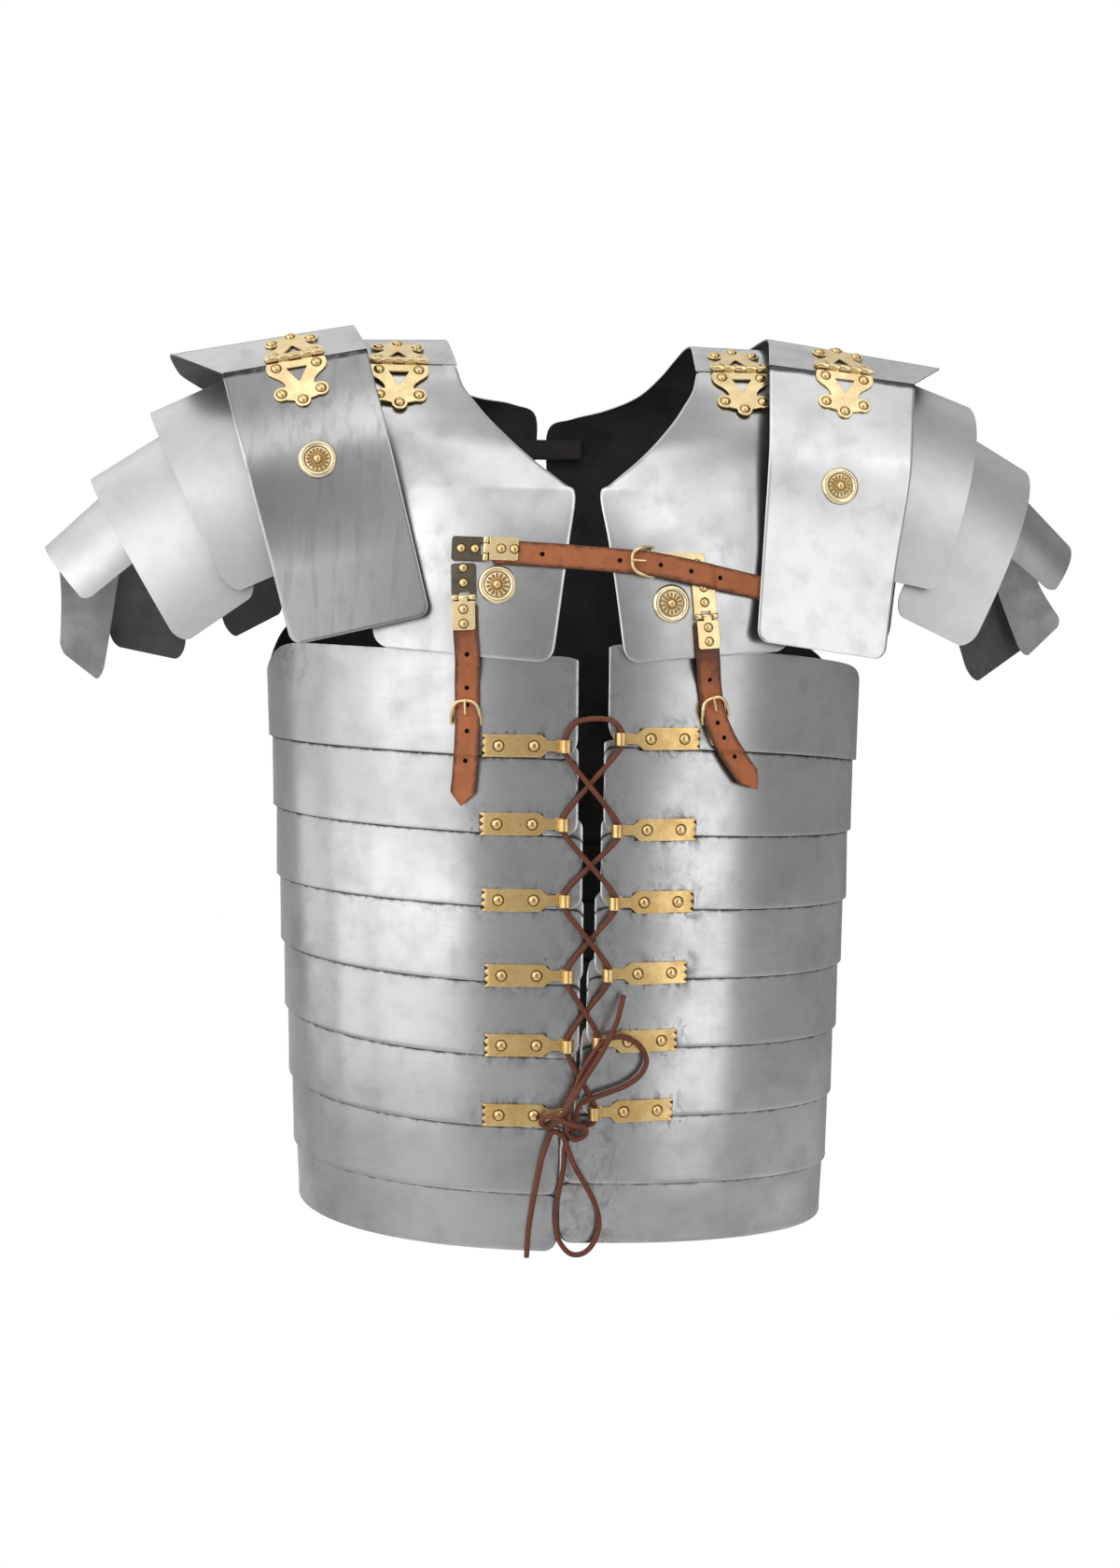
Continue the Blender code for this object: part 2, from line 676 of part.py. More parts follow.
def boolean(target, tool, operation):
    cut = target.modifiers.new(operation.lower(), "BOOLEAN")
    cut.object = tool
    cut.operation = operation
    cut.solver = "EXACT"
    tool.hide_render = True
    tool.display_type = "WIRE"


def baked(made):
    """The object's evaluated mesh in place of its modifiers."""
    bpy.context.view_layer.update()
    mesh = bpy.data.meshes.new_from_object(made.evaluated_get(bpy.context.evaluated_depsgraph_get()))
    old = made.data
    made.modifiers.clear()
    made.data = mesh
    mesh.name = made.name
    if old.users == 0:
        bpy.data.meshes.remove(old)
    return made


def hinge_leaf(name, frame, knuckles, with_pin):
    """One leaf of a lobed hinge. The frame's origin is on the pin's axis, and
    the plate is level with the knuckles' underside."""
    bm = bmesh.new()
    slab(bm, leaf_outline(knuckles), -KNUCKLE_RADIUS + 0.00002, -KNUCKLE_RADIUS + BRASS)
    leaf = add_mesh(name, bm, "brass")
    for k in knuckles:
        start, end = knuckle_span(k)
        bm = bmesh.new()
        cylinder(bm, KNUCKLE_RADIUS, start - 0.00001, end + 0.00001)
        boolean(leaf, add_mesh(f"{name}_knuckle_{k}", bm, "brass", cutters), "UNION")
    bm = bmesh.new()
    if with_pin:
        cylinder(bm, PIN_RADIUS, -HINGE_WIDTH / 2 + 0.001, HINGE_WIDTH / 2 - 0.001, sides=6)
        boolean(leaf, add_mesh(f"{name}_pin", bm, "brass", cutters), "UNION")
    else:
        cylinder(bm, KNUCKLE_BORE, -HINGE_WIDTH / 2 - 0.002, HINGE_WIDTH / 2 + 0.002, sides=8)
        boolean(leaf, add_mesh(f"{name}_bore", bm, "brass", cutters), "DIFFERENCE")
    baked(leaf)
    leaf.data.transform(frame)
    return leaf


def tidy():
    for tool in list(cutters.objects):
        mesh = tool.data
        bpy.data.objects.remove(tool, do_unlink=True)
        if mesh.users == 0:
            bpy.data.meshes.remove(mesh)


def two_leaf_hinge(side, upper, lower, u, v_upper, v_lower):
    """Pin axis and the frames of the two leaves: upper on the surface behind
    the hinge line, lower on the surface below it. Both surfaces start at v=0."""
    frames = []
    for surface, v_far in ((upper, v_upper), (lower, v_lower)):
        near = surface(u, 0.0)
        far = surface(u, v_far)
        line = surface(u + 0.2, 0.0) - surface(u - 0.2, 0.0)
        down = far - near
        out = line.cross(down).normalized()
        if out.dot(Vector((0, -1, 1))) < 0:
            out = -out
        line.normalize()
        down = (down - line * down.dot(line)).normalized()
        out = (out - line * out.dot(line)).normalized()
        across = down.cross(out)
        frame = (near, across, down, out)
        rise = clearance(surface, frame, (-0.020, 0.020), (0.0, 0.038))
        frames.append((frame, rise))
    (first, rise_1), (second, rise_2) = frames
    stand = KNUCKLE_RADIUS + GAP
    # The pin's axis stands off both planes.
    rows = Matrix((first[3], second[3], first[1]))
    values = Vector((
        first[3].dot(first[0]) + stand + rise_1,
        second[3].dot(second[0]) + stand + rise_2,
        first[1].dot(first[0]),
    ))
    centre = rows.inverted() @ values
    made = []
    for frame, _ in frames:
        origin, across, down, out = frame
        made.append(frame_matrix(centre, across, down, out))
    return centre, first[1], made


def plain_hinge(name, matrices, width, length):
    """A one-piece hinge with two square leaves, closed by its pin."""
    bm = bmesh.new()
    cylinder(bm, KNUCKLE_RADIUS, -width / 2, width / 2)
    made = add_mesh(name, bm, "brass")
    made.data.transform(matrices[0])
    for k, m in enumerate(matrices):
        half = width / 2 - 0.0004 * (k + 1)
        bm = bmesh.new()
        box_mesh(bm, -half, half, 0.0006, length, -KNUCKLE_RADIUS + 0.00003, -KNUCKLE_RADIUS + BRASS)
        leaf = add_mesh(f"{name}_leaf_{k}", bm, "brass", cutters)
        leaf.data.transform(m)
        boolean(made, leaf, "UNION")
        baked(made)
    return made


def box_mesh(bm, x0, x1, y0, y1, z0, z1):
    made = bmesh.ops.create_cube(bm, size=1.0)
    for v in made["verts"]:
        v.co = Vector((mix(x0, x1, v.co.x + 0.5), mix(y0, y1, v.co.y + 0.5), mix(z0, z1, v.co.z + 0.5)))


HINGE_AT = {"right": 0.50, "left": 0.51}     # share of the guard's width
hinge_axis = {}
for side in SIDES:
    name, sign = side
    mirrored = Vector((sign, 1, 1))
    # Front hinge of the upper guard, which opens.
    centre, across, (m_fixed, m_moving) = two_leaf_hinge(
        side, lambda u, v: guard_top(u, v, side), lambda u, v: leaf_point(u, v, side), HINGE_AT[name], 0.168, 0.185
    )
    hinge_axis[name] = (centre, across)
    hinge_leaf(f"shoulder_hinge_fixed_{name}", m_fixed, (0, 2, 4), True)
    hinge_leaf(f"shoulder_hinge_moving_{name}", m_moving, (1, 3), False)

    # Back hinge of the upper guard, plain.
    flip = lambda u, v: guard_top(u, 1 - v, side)
    back = lambda u, v: leaf_point(u, v, side, False)
    frames = []
    for surface, v_far in ((flip, 0.10), (back, 0.10)):
        near, far = surface(0.5, 0.0), surface(0.5, v_far)
        line = (surface(0.7, 0.0) - surface(0.3, 0.0)).normalized()
        down = far - near
        down = (down - line * down.dot(line)).normalized()
        out = line.cross(down).normalized()
        if out.dot(Vector((0, 1, 1))) < 0:
            out = -out
        across = down.cross(out)
        rise = clearance(surface, (near, across, down, out), (-0.016, 0.016), (0.0, 0.017))
        frames.append((near, across, down, out, rise))
    stand = KNUCKLE_RADIUS + GAP
    rows = Matrix((frames[0][3], frames[1][3], frames[0][1]))
    values = Vector((
        frames[0][3].dot(frames[0][0]) + stand + frames[0][4],
        frames[1][3].dot(frames[1][0]) + stand + frames[1][4],
        frames[0][1].dot(frames[0][0]),
    ))
    middle = rows.inverted() @ values
    plain_hinge(
        f"shoulder_hinge_back_{name}", [frame_matrix(middle, f[1], f[2], f[3]) for f in frames],
        0.030, 0.015,
    )

    # Collar hinge: both leaves and the barrel in one piece.
    centre, across, (m_upper, m_lower) = two_leaf_hinge(
        side, lambda u, v: collar(u, v) * mirrored, lambda u, v: breast(u, v) * mirrored, COLLAR_HINGE_AT[name], 0.145, 0.26
    )
    upper = hinge_leaf(f"collar_hinge_{name}", m_upper, (0, 2, 4), True)
    lower = hinge_leaf(f"collar_hinge_{name}_lower", m_lower, (1, 3), True)
    parts.objects.unlink(lower)
    cutters.objects.link(lower)
    boolean(upper, lower, "UNION")
    bm = bmesh.new()
    cylinder(bm, KNUCKLE_RADIUS - 0.0004, -HINGE_WIDTH / 2 + 0.001, HINGE_WIDTH / 2 - 0.001)
    core = add_mesh(f"collar_hinge_{name}_core", bm, "brass", cutters)
    core.data.transform(m_upper)
    boolean(upper, core, "UNION")
    baked(upper)


# Round bosses.
BREAST_BOSS = {"right": (0.0572, -0.1665), "left": (0.0521, -0.1770)}


def uv_of(surface, x, z):
    """u and v of a plate where its surface has this |x| and z."""
    u, v = 0.5, 0.5
    for _ in range(40):
        here = surface(u, v)
        ex, ez = x - here.x, z - here.z
        du = surface(u + 0.01, v) - surface(u - 0.01, v)
        dv = surface(u, v + 0.01) - surface(u, v - 0.01)
        det = du.x * dv.z - dv.x * du.z
        u += 0.02 * (ex * dv.z - ez * dv.x) / det
        v += 0.02 * (du.x * ez - du.z * ex) / det
    return u, v


def rosette(name, surface, u, v):
    here, across, down, out = laid_on(surface, u, v, outward=Vector((0, -1, 0.3)))
    across = down.cross(out)
    rise = clearance(surface, (here, across, down, out), (-ROSETTE_RADIUS, ROSETTE_RADIUS), (-ROSETTE_RADIUS, ROSETTE_RADIUS))
    # A turned profile: flat back, stepped rim and a domed rivet.
    profile = (
        (0.0, 0.0030), (ROSETTE_DOME * 0.75, 0.0024), (ROSETTE_DOME, 0.0011), (0.0098, 0.0009),
        (0.0108, 0.0015), (ROSETTE_RADIUS, 0.0010), (ROSETTE_RADIUS, 0.0), (0.0, 0.0),
    )
    bm = bmesh.new()
    verts = [bm.verts.new((r, 0.0, h)) for r, h in profile]
    for a, b in zip(verts, verts[1:]):
        bm.edges.new((a, b))
    made = add_mesh(name, bm, "brass")
    turn = made.modifiers.new("turn", "SCREW")
    turn.steps = turn.render_steps = 14
    turn.use_merge_vertices = True
    turn.merge_threshold = 0.00002
    baked(made)
    made.data.transform(frame_matrix(here + out * (GAP + rise), across, down, out))


GUARD_BOSS = {"right": (0.51, 0.37), "left": (0.51, 0.41)}
for side in SIDES:
    name, sign = side
    mirrored = Vector((sign, 1, 1))
    rosette(f"rosette_guard_{name}", lambda u, v: leaf_point(u, v, side), *GUARD_BOSS[name])
    rosette(f"rosette_breast_{name}", lambda u, v: breast(u, v) * mirrored, *uv_of(breast, *BREAST_BOSS[name]))


# ---------------------------------------------------------------- lace loops
def tie_point(index, sign, x_curl, z):
    """The strip's middle surface: u 0 at its outer end, 1 at the end of the curl."""
    straight = TIE_LENGTH
    curl = CURL * CURL_TURN
    total = straight + curl

    def point(u, v):
        s = straight - u * total
        if s >= 0:
            x = x_curl + sign * s
            width = mix(TIE_NECK, TIE_WIDTH, smooth_step((s - 0.006) / 0.008))
            return Vector((x, torso_front(x, z, index) - GAP - BRASS / 2, z + (v - 0.5) * width))
        angle = -s / CURL
        centre_y = torso_front(x_curl, z, index) - GAP - BRASS / 2 - CURL
        return Vector((
            x_curl - sign * CURL * math.sin(angle), centre_y + CURL * math.cos(angle), z + (v - 0.5) * TIE_NECK,
        ))

    return point, straight / total


for index, tie in enumerate(TIES):
    for name, sign in SIDES:
        surface, flat = tie_point(index, sign, tie[name], tie[name + "_z"])
        lengths = (0.052, 0.040, 0.028, 0.018, 0.011, 0.005, 0.0)
        us = [flat * (1 - s / TIE_LENGTH) for s in lengths]
        us += [mix(flat, 1.0, k / 9) for k in range(1, 10)]
        strip = sheet(
            f"tie_loop_{name}_{index + 1}", surface, us, (0.0, 1.0), "brass",
            thickness=BRASS, outward=lambda p: Vector((0, -1, 0)),
        )
        strip.modifiers["thickness"].offset = 0.0


# ---------------------------------------------------------------- straps
def along_path(rows):
    """A smooth path through rows of x, z and stand-off, by length."""
    columns = list(zip(*rows))

    def at(t):
        k = t * (len(rows) - 1)
        return tuple(catmull(c, k) for c in columns)

    return at


def strap(name, rows, count, width=STRAP_WIDTH, tip=0.010, kind="leather", depth=front_depth, rest=None):
    path = along_path(rows)
    length = sum(
        math.dist(path(k / 60)[:2], path((k + 1) / 60)[:2]) for k in range(60)
    )

    def point(u, v):
        x, z, off = path(u)
        ax, az, _ = path(min(1.0, u + 0.01))
        bx, bz, _ = path(max(0.0, u - 0.01))
        tx, tz = ax - bx, az - bz
        size = math.hypot(tx, tz)
        nx, nz = -tz / size, tx / size
        left = (1 - u) * length
        half = width / 2 * (1.0 if left > tip or not tip else mix(0.12, 1.0, left / tip))
        c = (v - 0.5) * 2 * half
        px, pz = x + nx * c, z + nz * c
        if rest:
            off = max(off, rest(px, pz))
        return Vector((px, depth(px, pz) - off - LEATHER, pz))

    us = [k / count for k in range(count + 1)]
    if tip:
        us = sorted(us + [1 - tip / length])
    return sheet(name, point, us, (0.0, 0.5, 1.0), kind, thickness=LEATHER, outward=lambda p: Vector((0, -1, 0)))


def strap_frame(x, z, direction, reach=0.012):
    """Frame at x, z on the front: x across the strap, y along it, z outwards."""
    dx, dz = direction
    size = math.hypot(dx, dz)
    dx, dz = dx / size, dz / size
    step = reach
    here = Vector((x, front_depth(x, z), z))
    along = Vector((
        2 * step * dx, front_depth(x + step * dx, z + step * dz) - front_depth(x - step * dx, z - step * dz), 2 * step * dz
    )).normalized()
    side_x, side_z = dz, -dx
    across = Vector((
        2 * step * side_x, front_depth(x + step * side_x, z + step * side_z) - front_depth(x - step * side_x, z - step * side_z),
        2 * step * side_z,
    ))
    across = (across - along * across.dot(along)).normalized()
    out = across.cross(along).normalized()
    if out.y > 0:
        across, out = -across, -out
    return here, across, along, out


def lift_above(frame, box, samples=9):
    """How far the front surface rises above a frame's plane within a box."""
    here, across, along, out = frame
    (a0, a1), (b0, b1) = box
    worst = 0.0
    for i in range(samples):
        for j in range(samples):
            p = here + across * mix(a0, a1, i / (samples - 1)) + along * mix(b0, b1, j / (samples - 1))
            surface = Vector((p.x, front_depth(p.x, p.z), p.z))
            worst = max(worst, (surface - p).dot(out))
    return worst


FITTING_WIDTH = 0.0155
FIXED_LENGTH = 0.0205
MOVING_LENGTH = 0.0205
FITTING_TOP = 0.0033      # underside of the plate that grips the strap's end


def strap_fitting(name, x, z, direction):
    """Small hinged fitting; x, z is its knuckle, direction leads to the strap."""
    frame = strap_frame(x, z, direction)
    half = FITTING_WIDTH / 2
    lift = lift_above(frame, ((-half, half), (-FIXED_LENGTH - 0.001, MOVING_LENGTH)))
    here, across, along, out = frame
    m = frame_matrix(here + out * lift, across, along, out)
    bm = bmesh.new()
    box_mesh(bm, -half, half, -FIXED_LENGTH - 0.001, 0.0, GAP, GAP + BRASS)
    made = add_mesh(name, bm, "brass")
    bm = bmesh.new()
    box_mesh(bm, -half * 0.94, half * 0.94, 0.0, MOVING_LENGTH, FITTING_TOP, FITTING_TOP + BRASS)
    top = add_mesh(name + "_top", bm, "brass", cutters)
    boolean(made, top, "UNION")
    bm = bmesh.new()
    radius = (FITTING_TOP + BRASS - GAP) / 2
    cylinder(bm, radius, -half * 0.9, half * 0.9, sides=12)
    bmesh.ops.translate(bm, verts=bm.verts, vec=(0, 0, GAP + radius))
    barrel = add_mesh(name + "_barrel", bm, "brass", cutters)
    boolean(made, barrel, "UNION")
    baked(made)
    made.data.transform(m)
    return lift


BUCKLE_HALF = 0.0104
BUCKLE_REACH = 0.0145
BUCKLE_WIRE = 0.0011
BUCKLE_BAR = 0.0016       # height of the bar's middle above the surface
BUCKLE_ARC = 0.0058       # height of the arc's middle


def buckle(name, x, z, direction, plate_length, plate_width):
    """D-buckle; x, z is its bar, direction is the way the strap runs."""
    frame = strap_frame(x, z, direction)
    lift = lift_above(frame, ((-plate_width / 2, plate_width / 2), (0.0, plate_length)))
    here, across, along, out = frame
    m = frame_matrix(here + out * lift, across, along, out)
    curve = bpy.data.curves.new(name + "_wire", "CURVE")
    curve.dimensions = "3D"
    curve.bevel_depth = BUCKLE_WIRE
    curve.bevel_resolution = 2
    count = 10
    points = []
    for k in range(count + 1):
        t = math.pi * k / count
        points.append((
            BUCKLE_HALF * signed_power(math.cos(t), 0.5),
            -BUCKLE_REACH * math.sin(t) ** 0.85,
            mix(BUCKLE_BAR, BUCKLE_ARC, 1 - (1 - math.sin(t)) ** 2.5),
        ))
    points += [(-BUCKLE_HALF * 0.35, 0.0, BUCKLE_BAR), (BUCKLE_HALF * 0.35, 0.0, BUCKLE_BAR)]
    line = curve.splines.new("POLY")
    line.points.add(len(points) - 1)
    for p, co in zip(line.points, points):
        p.co = (*co, 1.0)
    line.use_cyclic_u = True
    wire = bpy.data.objects.new(name + "_wire", curve)
    cutters.objects.link(wire)
    bpy.context.view_layer.update()
    mesh = bpy.data.meshes.new_from_object(wire.evaluated_get(bpy.context.evaluated_depsgraph_get()))
    bpy.data.objects.remove(wire, do_unlink=True)
    bm = bmesh.new()
    bm.from_mesh(mesh)
    bmesh.ops.remove_doubles(bm, verts=bm.verts, dist=0.00001)
    bpy.data.meshes.remove(mesh)
    made = add_mesh(name, bm, "brass")
    bm = bmesh.new()
    box_mesh(bm, -plate_width / 2, plate_width / 2, -0.0003, plate_length, GAP, GAP + BRASS)
    plate = add_mesh(name + "_plate", bm, "brass", cutters)
    boolean(made, plate, "UNION")
    baked(made)
    made.data.transform(m)
    origin = here + out * lift
    inverse = m.inverted()

    def rest(px, pz):
        """Height over the surface that clears the bar and the plate at px, pz."""
        y = origin.y - ((px - origin.x) * out.x + (pz - origin.z) * out.z) / out.y
        on = inverse @ Vector((px, y, pz))
        plane = front_depth(px, pz) - y
        near_bar = 1 - smooth_step((abs(on.y) - 0.0030) / 0.0070)
        near_plate = 1 - smooth_step((max(-on.y, on.y - plate_length) - 0.0030) / 0.0070)
        return max(near_bar * (plane + BUCKLE_BAR + BUCKLE_WIRE + 0.0008), near_plate * (plane + GAP + BRASS + 0.0012))

    return rest


# Knuckle of each strap fitting, the buckle's bar, and the strap's route
# as rows of x, z and stand-off of its inner face.
STRAP_ROWS = {
    "collar": {
        "fitting": (-0.0640, -0.1447), "fitting_way": (1.0, -0.03),
        "buckle": (0.0400, -0.1515), "buckle_way": (1.0, 0.0), "plate": (0.034, 0.0125),
        "route": (
            (-0.0600, -0.1460, 0.0006), (-0.0420, -0.1468, 0.0006), (-0.0200, -0.1480, 0.0008),
            (0.0000, -0.1494, 0.0008), (0.0180, -0.1506, 0.0007), (0.0270, -0.1512, 0.0010),
            (0.0345, -0.1519, 0.0016), (0.0400, -0.1525, 0.0023), (0.0480, -0.1537, 0.0022), (0.0610, -0.1561, 0.0020),
            (0.0760, -0.1590, 0.0026), (0.0900, -0.1618, 0.0022), (0.1040, -0.1645, 0.0008), (0.1150, -0.1668, 0.0006),
        ),
        "tip": 0.0,
    },
    "right": {
        "fitting": (-0.0776, -0.1748), "fitting_way": (0.02, -1.0),
        "buckle": (-0.0752, -0.2530), "buckle_way": (0.0, -1.0), "plate": (0.016, 0.0125),
        "route": (
            (-0.0774, -0.1795, 0.0006), (-0.0769, -0.1955, 0.0006), (-0.0758, -0.2120, 0.0008),
            (-0.0754, -0.2290, 0.0007), (-0.0752, -0.2385, 0.0007), (-0.0752, -0.2450, 0.0014), (-0.0752, -0.2505, 0.0031),
            (-0.0753, -0.2560, 0.0036), (-0.0757, -0.2680, 0.0034), (-0.0764, -0.2820, 0.0044),
            (-0.0776, -0.2950, 0.0042), (-0.0786, -0.3040, 0.0040),
        ),
        "tip": 0.010,
    },
    "left": {
        "fitting": (0.0742, -0.1850), "fitting_way": (0.08, -1.0),
        "buckle": (0.0822, -0.2500), "buckle_way": (0.28, -1.0), "plate": (0.016, 0.0125),
        "route": (
            (0.0747, -0.1898, 0.0006), (0.0757, -0.2030, 0.0006), (0.0769, -0.2170, 0.0008),
            (0.0783, -0.2270, 0.0007), (0.0797, -0.2360, 0.0007), (0.0807, -0.2420, 0.0014), (0.0817, -0.2475, 0.0031),
            (0.0842, -0.2540, 0.0036), (0.0896, -0.2645, 0.0036), (0.0970, -0.2755, 0.0046),
            (0.1052, -0.2862, 0.0046), (0.1118, -0.2944, 0.0044),
        ),
        "tip": 0.010,
    },
}
for name, row in STRAP_ROWS.items():
    strap_fitting(f"strap_fitting_{name}", *row["fitting"], row["fitting_way"])
    rest = buckle(f"buckle_{name}", *row["buckle"], row["buckle_way"], *row["plate"])
    strap(f"strap_{name}", row["route"], 20, tip=row["tip"], rest=rest)

# The dark strap across the opening of the collar's back, inside the plates.
BACK_STRAP_Z = -0.0560
BACK_STRAP_HALF = 0.030


def back_depth(x, z):
    u, v = uv_of(collar, max(abs(x), 0.0048), z) if abs(x) > 0.006 else uv_of(collar, 0.0062, z)
    return collar(u, v).y


def back_strap_point(u, v):
    x = mix(-BACK_STRAP_HALF, BACK_STRAP_HALF, u)
    z = BACK_STRAP_Z + (v - 0.5) * STRAP_WIDTH
    return Vector((x, collar(0.0, 0.78).y - SHEET - 0.0040 - 0.06 * abs(x) - 1.2 * x * x, z))


sheet(
    "back_strap", back_strap_point, [k / 8 for k in range(9)], (0.0, 1.0), "dark_leather",
    thickness=0.0020, outward=lambda p: Vector((0, 1, 0)),
)


# ---------------------------------------------------------------- lace
LACE_STAND = GAP + BRASS / 2 + CURL   # the lace's middle inside a curled end
PASS = 0.0052             # how far above and below a curled end it runs straight
UNDER, OVER = 0.0030, 0.0072          # stand-off of the two strands where they cross
LACE_COLUMNS = ("x", "z", "stand")
TAIL_UP = (               # free end over the upper right, from its tip to the knot
    (0.0251, -0.4242, 0.0060), (0.0231, -0.4305, 0.0085), (0.0206, -0.4381, 0.0118), (0.0173, -0.4447, 0.0140),
    (0.0125, -0.4538, 0.0150), (0.0076, -0.4635, 0.0152), (0.0006, -0.4741, 0.0150), (-0.0056, -0.4849, 0.0138),
    (-0.0112, -0.4945, 0.0140), (-0.0170, -0.5030, 0.0110),
)
WRAP = (                  # round the knot once
    (-0.0215, -0.5085, 0.0050), (-0.0265, -0.5045, 0.0062), (-0.0225, -0.4995, 0.0105), (-0.0148, -0.5018, 0.0148),
    (-0.0070, -0.5046, 0.0148), (0.0008, -0.5075, 0.0100), (0.0020, -0.5135, 0.0062), (-0.0045, -0.5168, 0.0048),
    (-0.0098, -0.5120, 0.0066), (-0.0106, -0.5066, 0.0108),
)
LOOP_RIGHT = (            # round the right bow loop and back to the left strand
    (-0.0108, -0.4990, 0.0110), (-0.0081, -0.4903, 0.0108), (-0.0053, -0.4819, 0.0112), (-0.0012, -0.4713, 0.0112),
    (0.0041, -0.4621, 0.0114), (0.0098, -0.4543, 0.0110), (0.0177, -0.4506, 0.0078), (0.0263, -0.4511, 0.0064),
    (0.0349, -0.4556, 0.0060), (0.0399, -0.4634, 0.0058), (0.0403, -0.4694, 0.0058), (0.0361, -0.4764, 0.0058),
    (0.0277, -0.4821, 0.0060), (0.0174, -0.4859, 0.0064), (0.0073, -0.4891, 0.0068), (-0.0016, -0.4932, 0.0064),
    (-0.0040, -0.4985, 0.0060), (-0.0046, -0.5045, 0.0052), (-0.0080, -0.5092, 0.0044),
)
LOOP_DOWN = (             # from the right strand round the lower bow loop
    (0.0020, -0.5082, 0.0040), (-0.0060, -0.5122, 0.0036), (-0.0104, -0.5212, 0.0034), (-0.0112, -0.5331, 0.0034),
    (-0.0135, -0.5462, 0.0036), (-0.0154, -0.5595, 0.0036), (-0.0159, -0.5716, 0.0036), (-0.0134, -0.5826, 0.0036),
    (-0.0073, -0.5905, 0.0038), (-0.0002, -0.5918, 0.0040), (0.0064, -0.5877, 0.0042), (0.0111, -0.5787, 0.0044),
    (0.0118, -0.5683, 0.0046), (0.0082, -0.5566, 0.0050), (0.0017, -0.5446, 0.0060), (-0.0045, -0.5335, 0.0070),
    (-0.0092, -0.5225, 0.0078), (-0.0130, -0.5135, 0.0080),
)
TAIL_DOWN = (             # free end at the lower left, from the knot to its tip
    (-0.0190, -0.5112, 0.0072), (-0.0226, -0.5198, 0.0058), (-0.0254, -0.5290, 0.0050), (-0.0273, -0.5386, 0.0046),
    (-0.0299, -0.5525, 0.0044), (-0.0315, -0.5646, 0.0042), (-0.0331, -0.5768, 0.0042), (-0.0341, -0.5930, 0.0042),
)


def lace_route():
    """Rows of x, z, stand-off and, inside a curled end, its band, from tip to tip."""
    last = len(TIES) - 1
    rows = list(TAIL_UP) + list(WRAP) + list(LOOP_RIGHT)

    def through(index, name, upward):
        tie = TIES[index]
        z = tie[name + "_z"]
        ends = [(tie[name], z - PASS, LACE_STAND, index), (tie[name], z + PASS, LACE_STAND, index)]
        return ends if upward else ends[::-1]

    def cross(index, name, stand):
        """Between band index and the next, on the strand that leaves this side."""
        upper, lower = TIES[index], TIES[index + 1]
        other = "left" if name == "right" else "right"
        return [(
            (upper[name] + lower[other]) / 2, (upper[name + "_z"] + lower[other + "_z"]) / 2, stand,
        )]

    # Up the strand that ends on the right at the bottom.
    names = ["right", "left"]
    for step, index in enumerate(range(last, -1, -1)):
        name = names[step % 2]
        rows += through(index, name, True)
        if index:
            rows += cross(index - 1, names[(step + 1) % 2], UNDER if (index % 2) else OVER)
    # Over the top and down the other strand.
    top = TIES[0]
    middle = (top["right"] + top["left"]) / 2
    rows += [
        (mix(top["left"], middle, 0.35), top["left_z"] + 0.0115, 0.0040), (middle, top["left_z"] + 0.0128, 0.0040),
        (mix(top["right"], middle, 0.35), top["left_z"] + 0.0100, 0.0040),
    ]
    names = ["right", "left"]
    for step, index in enumerate(range(0, last + 1)):
        name = names[step % 2]
        rows += through(index, name, False)
        if index < last:
            rows += cross(index, name, OVER if ((index + 1) % 2) else UNDER)
    rows += list(LOOP_DOWN) + list(TAIL_DOWN)
    return rows


def lace_point(x, z, stand, index=None):
    return Vector((x, torso_front(x, max(z, HOOPS[-1]["bottom"]), index) - stand, z))


route = [lace_point(*row) for row in lace_route()]
curve = bpy.data.curves.new("lace", "CURVE")
curve.dimensions = "3D"
curve.bevel_depth = LACE_DIAMETER / 2
curve.bevel_resolution = 2
curve.use_fill_caps = True
line = curve.splines.new("POLY")
line.points.add(len(route) - 1)
for p, co in zip(line.points, route):
    p.co = (*co, 1.0)
lace = bpy.data.objects.new("lace", curve)
curve.materials.append(material("lace"))
parts.objects.link(lace)

for made in parts.objects:
    if made.type == "MESH" and len(made.data.polygons):
        made.data.shade_smooth()
        made.data.set_sharp_from_angle(angle=math.radians(35))
tidy()
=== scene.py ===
import json
import math

import bmesh
import bpy
from mathutils import Matrix, Vector

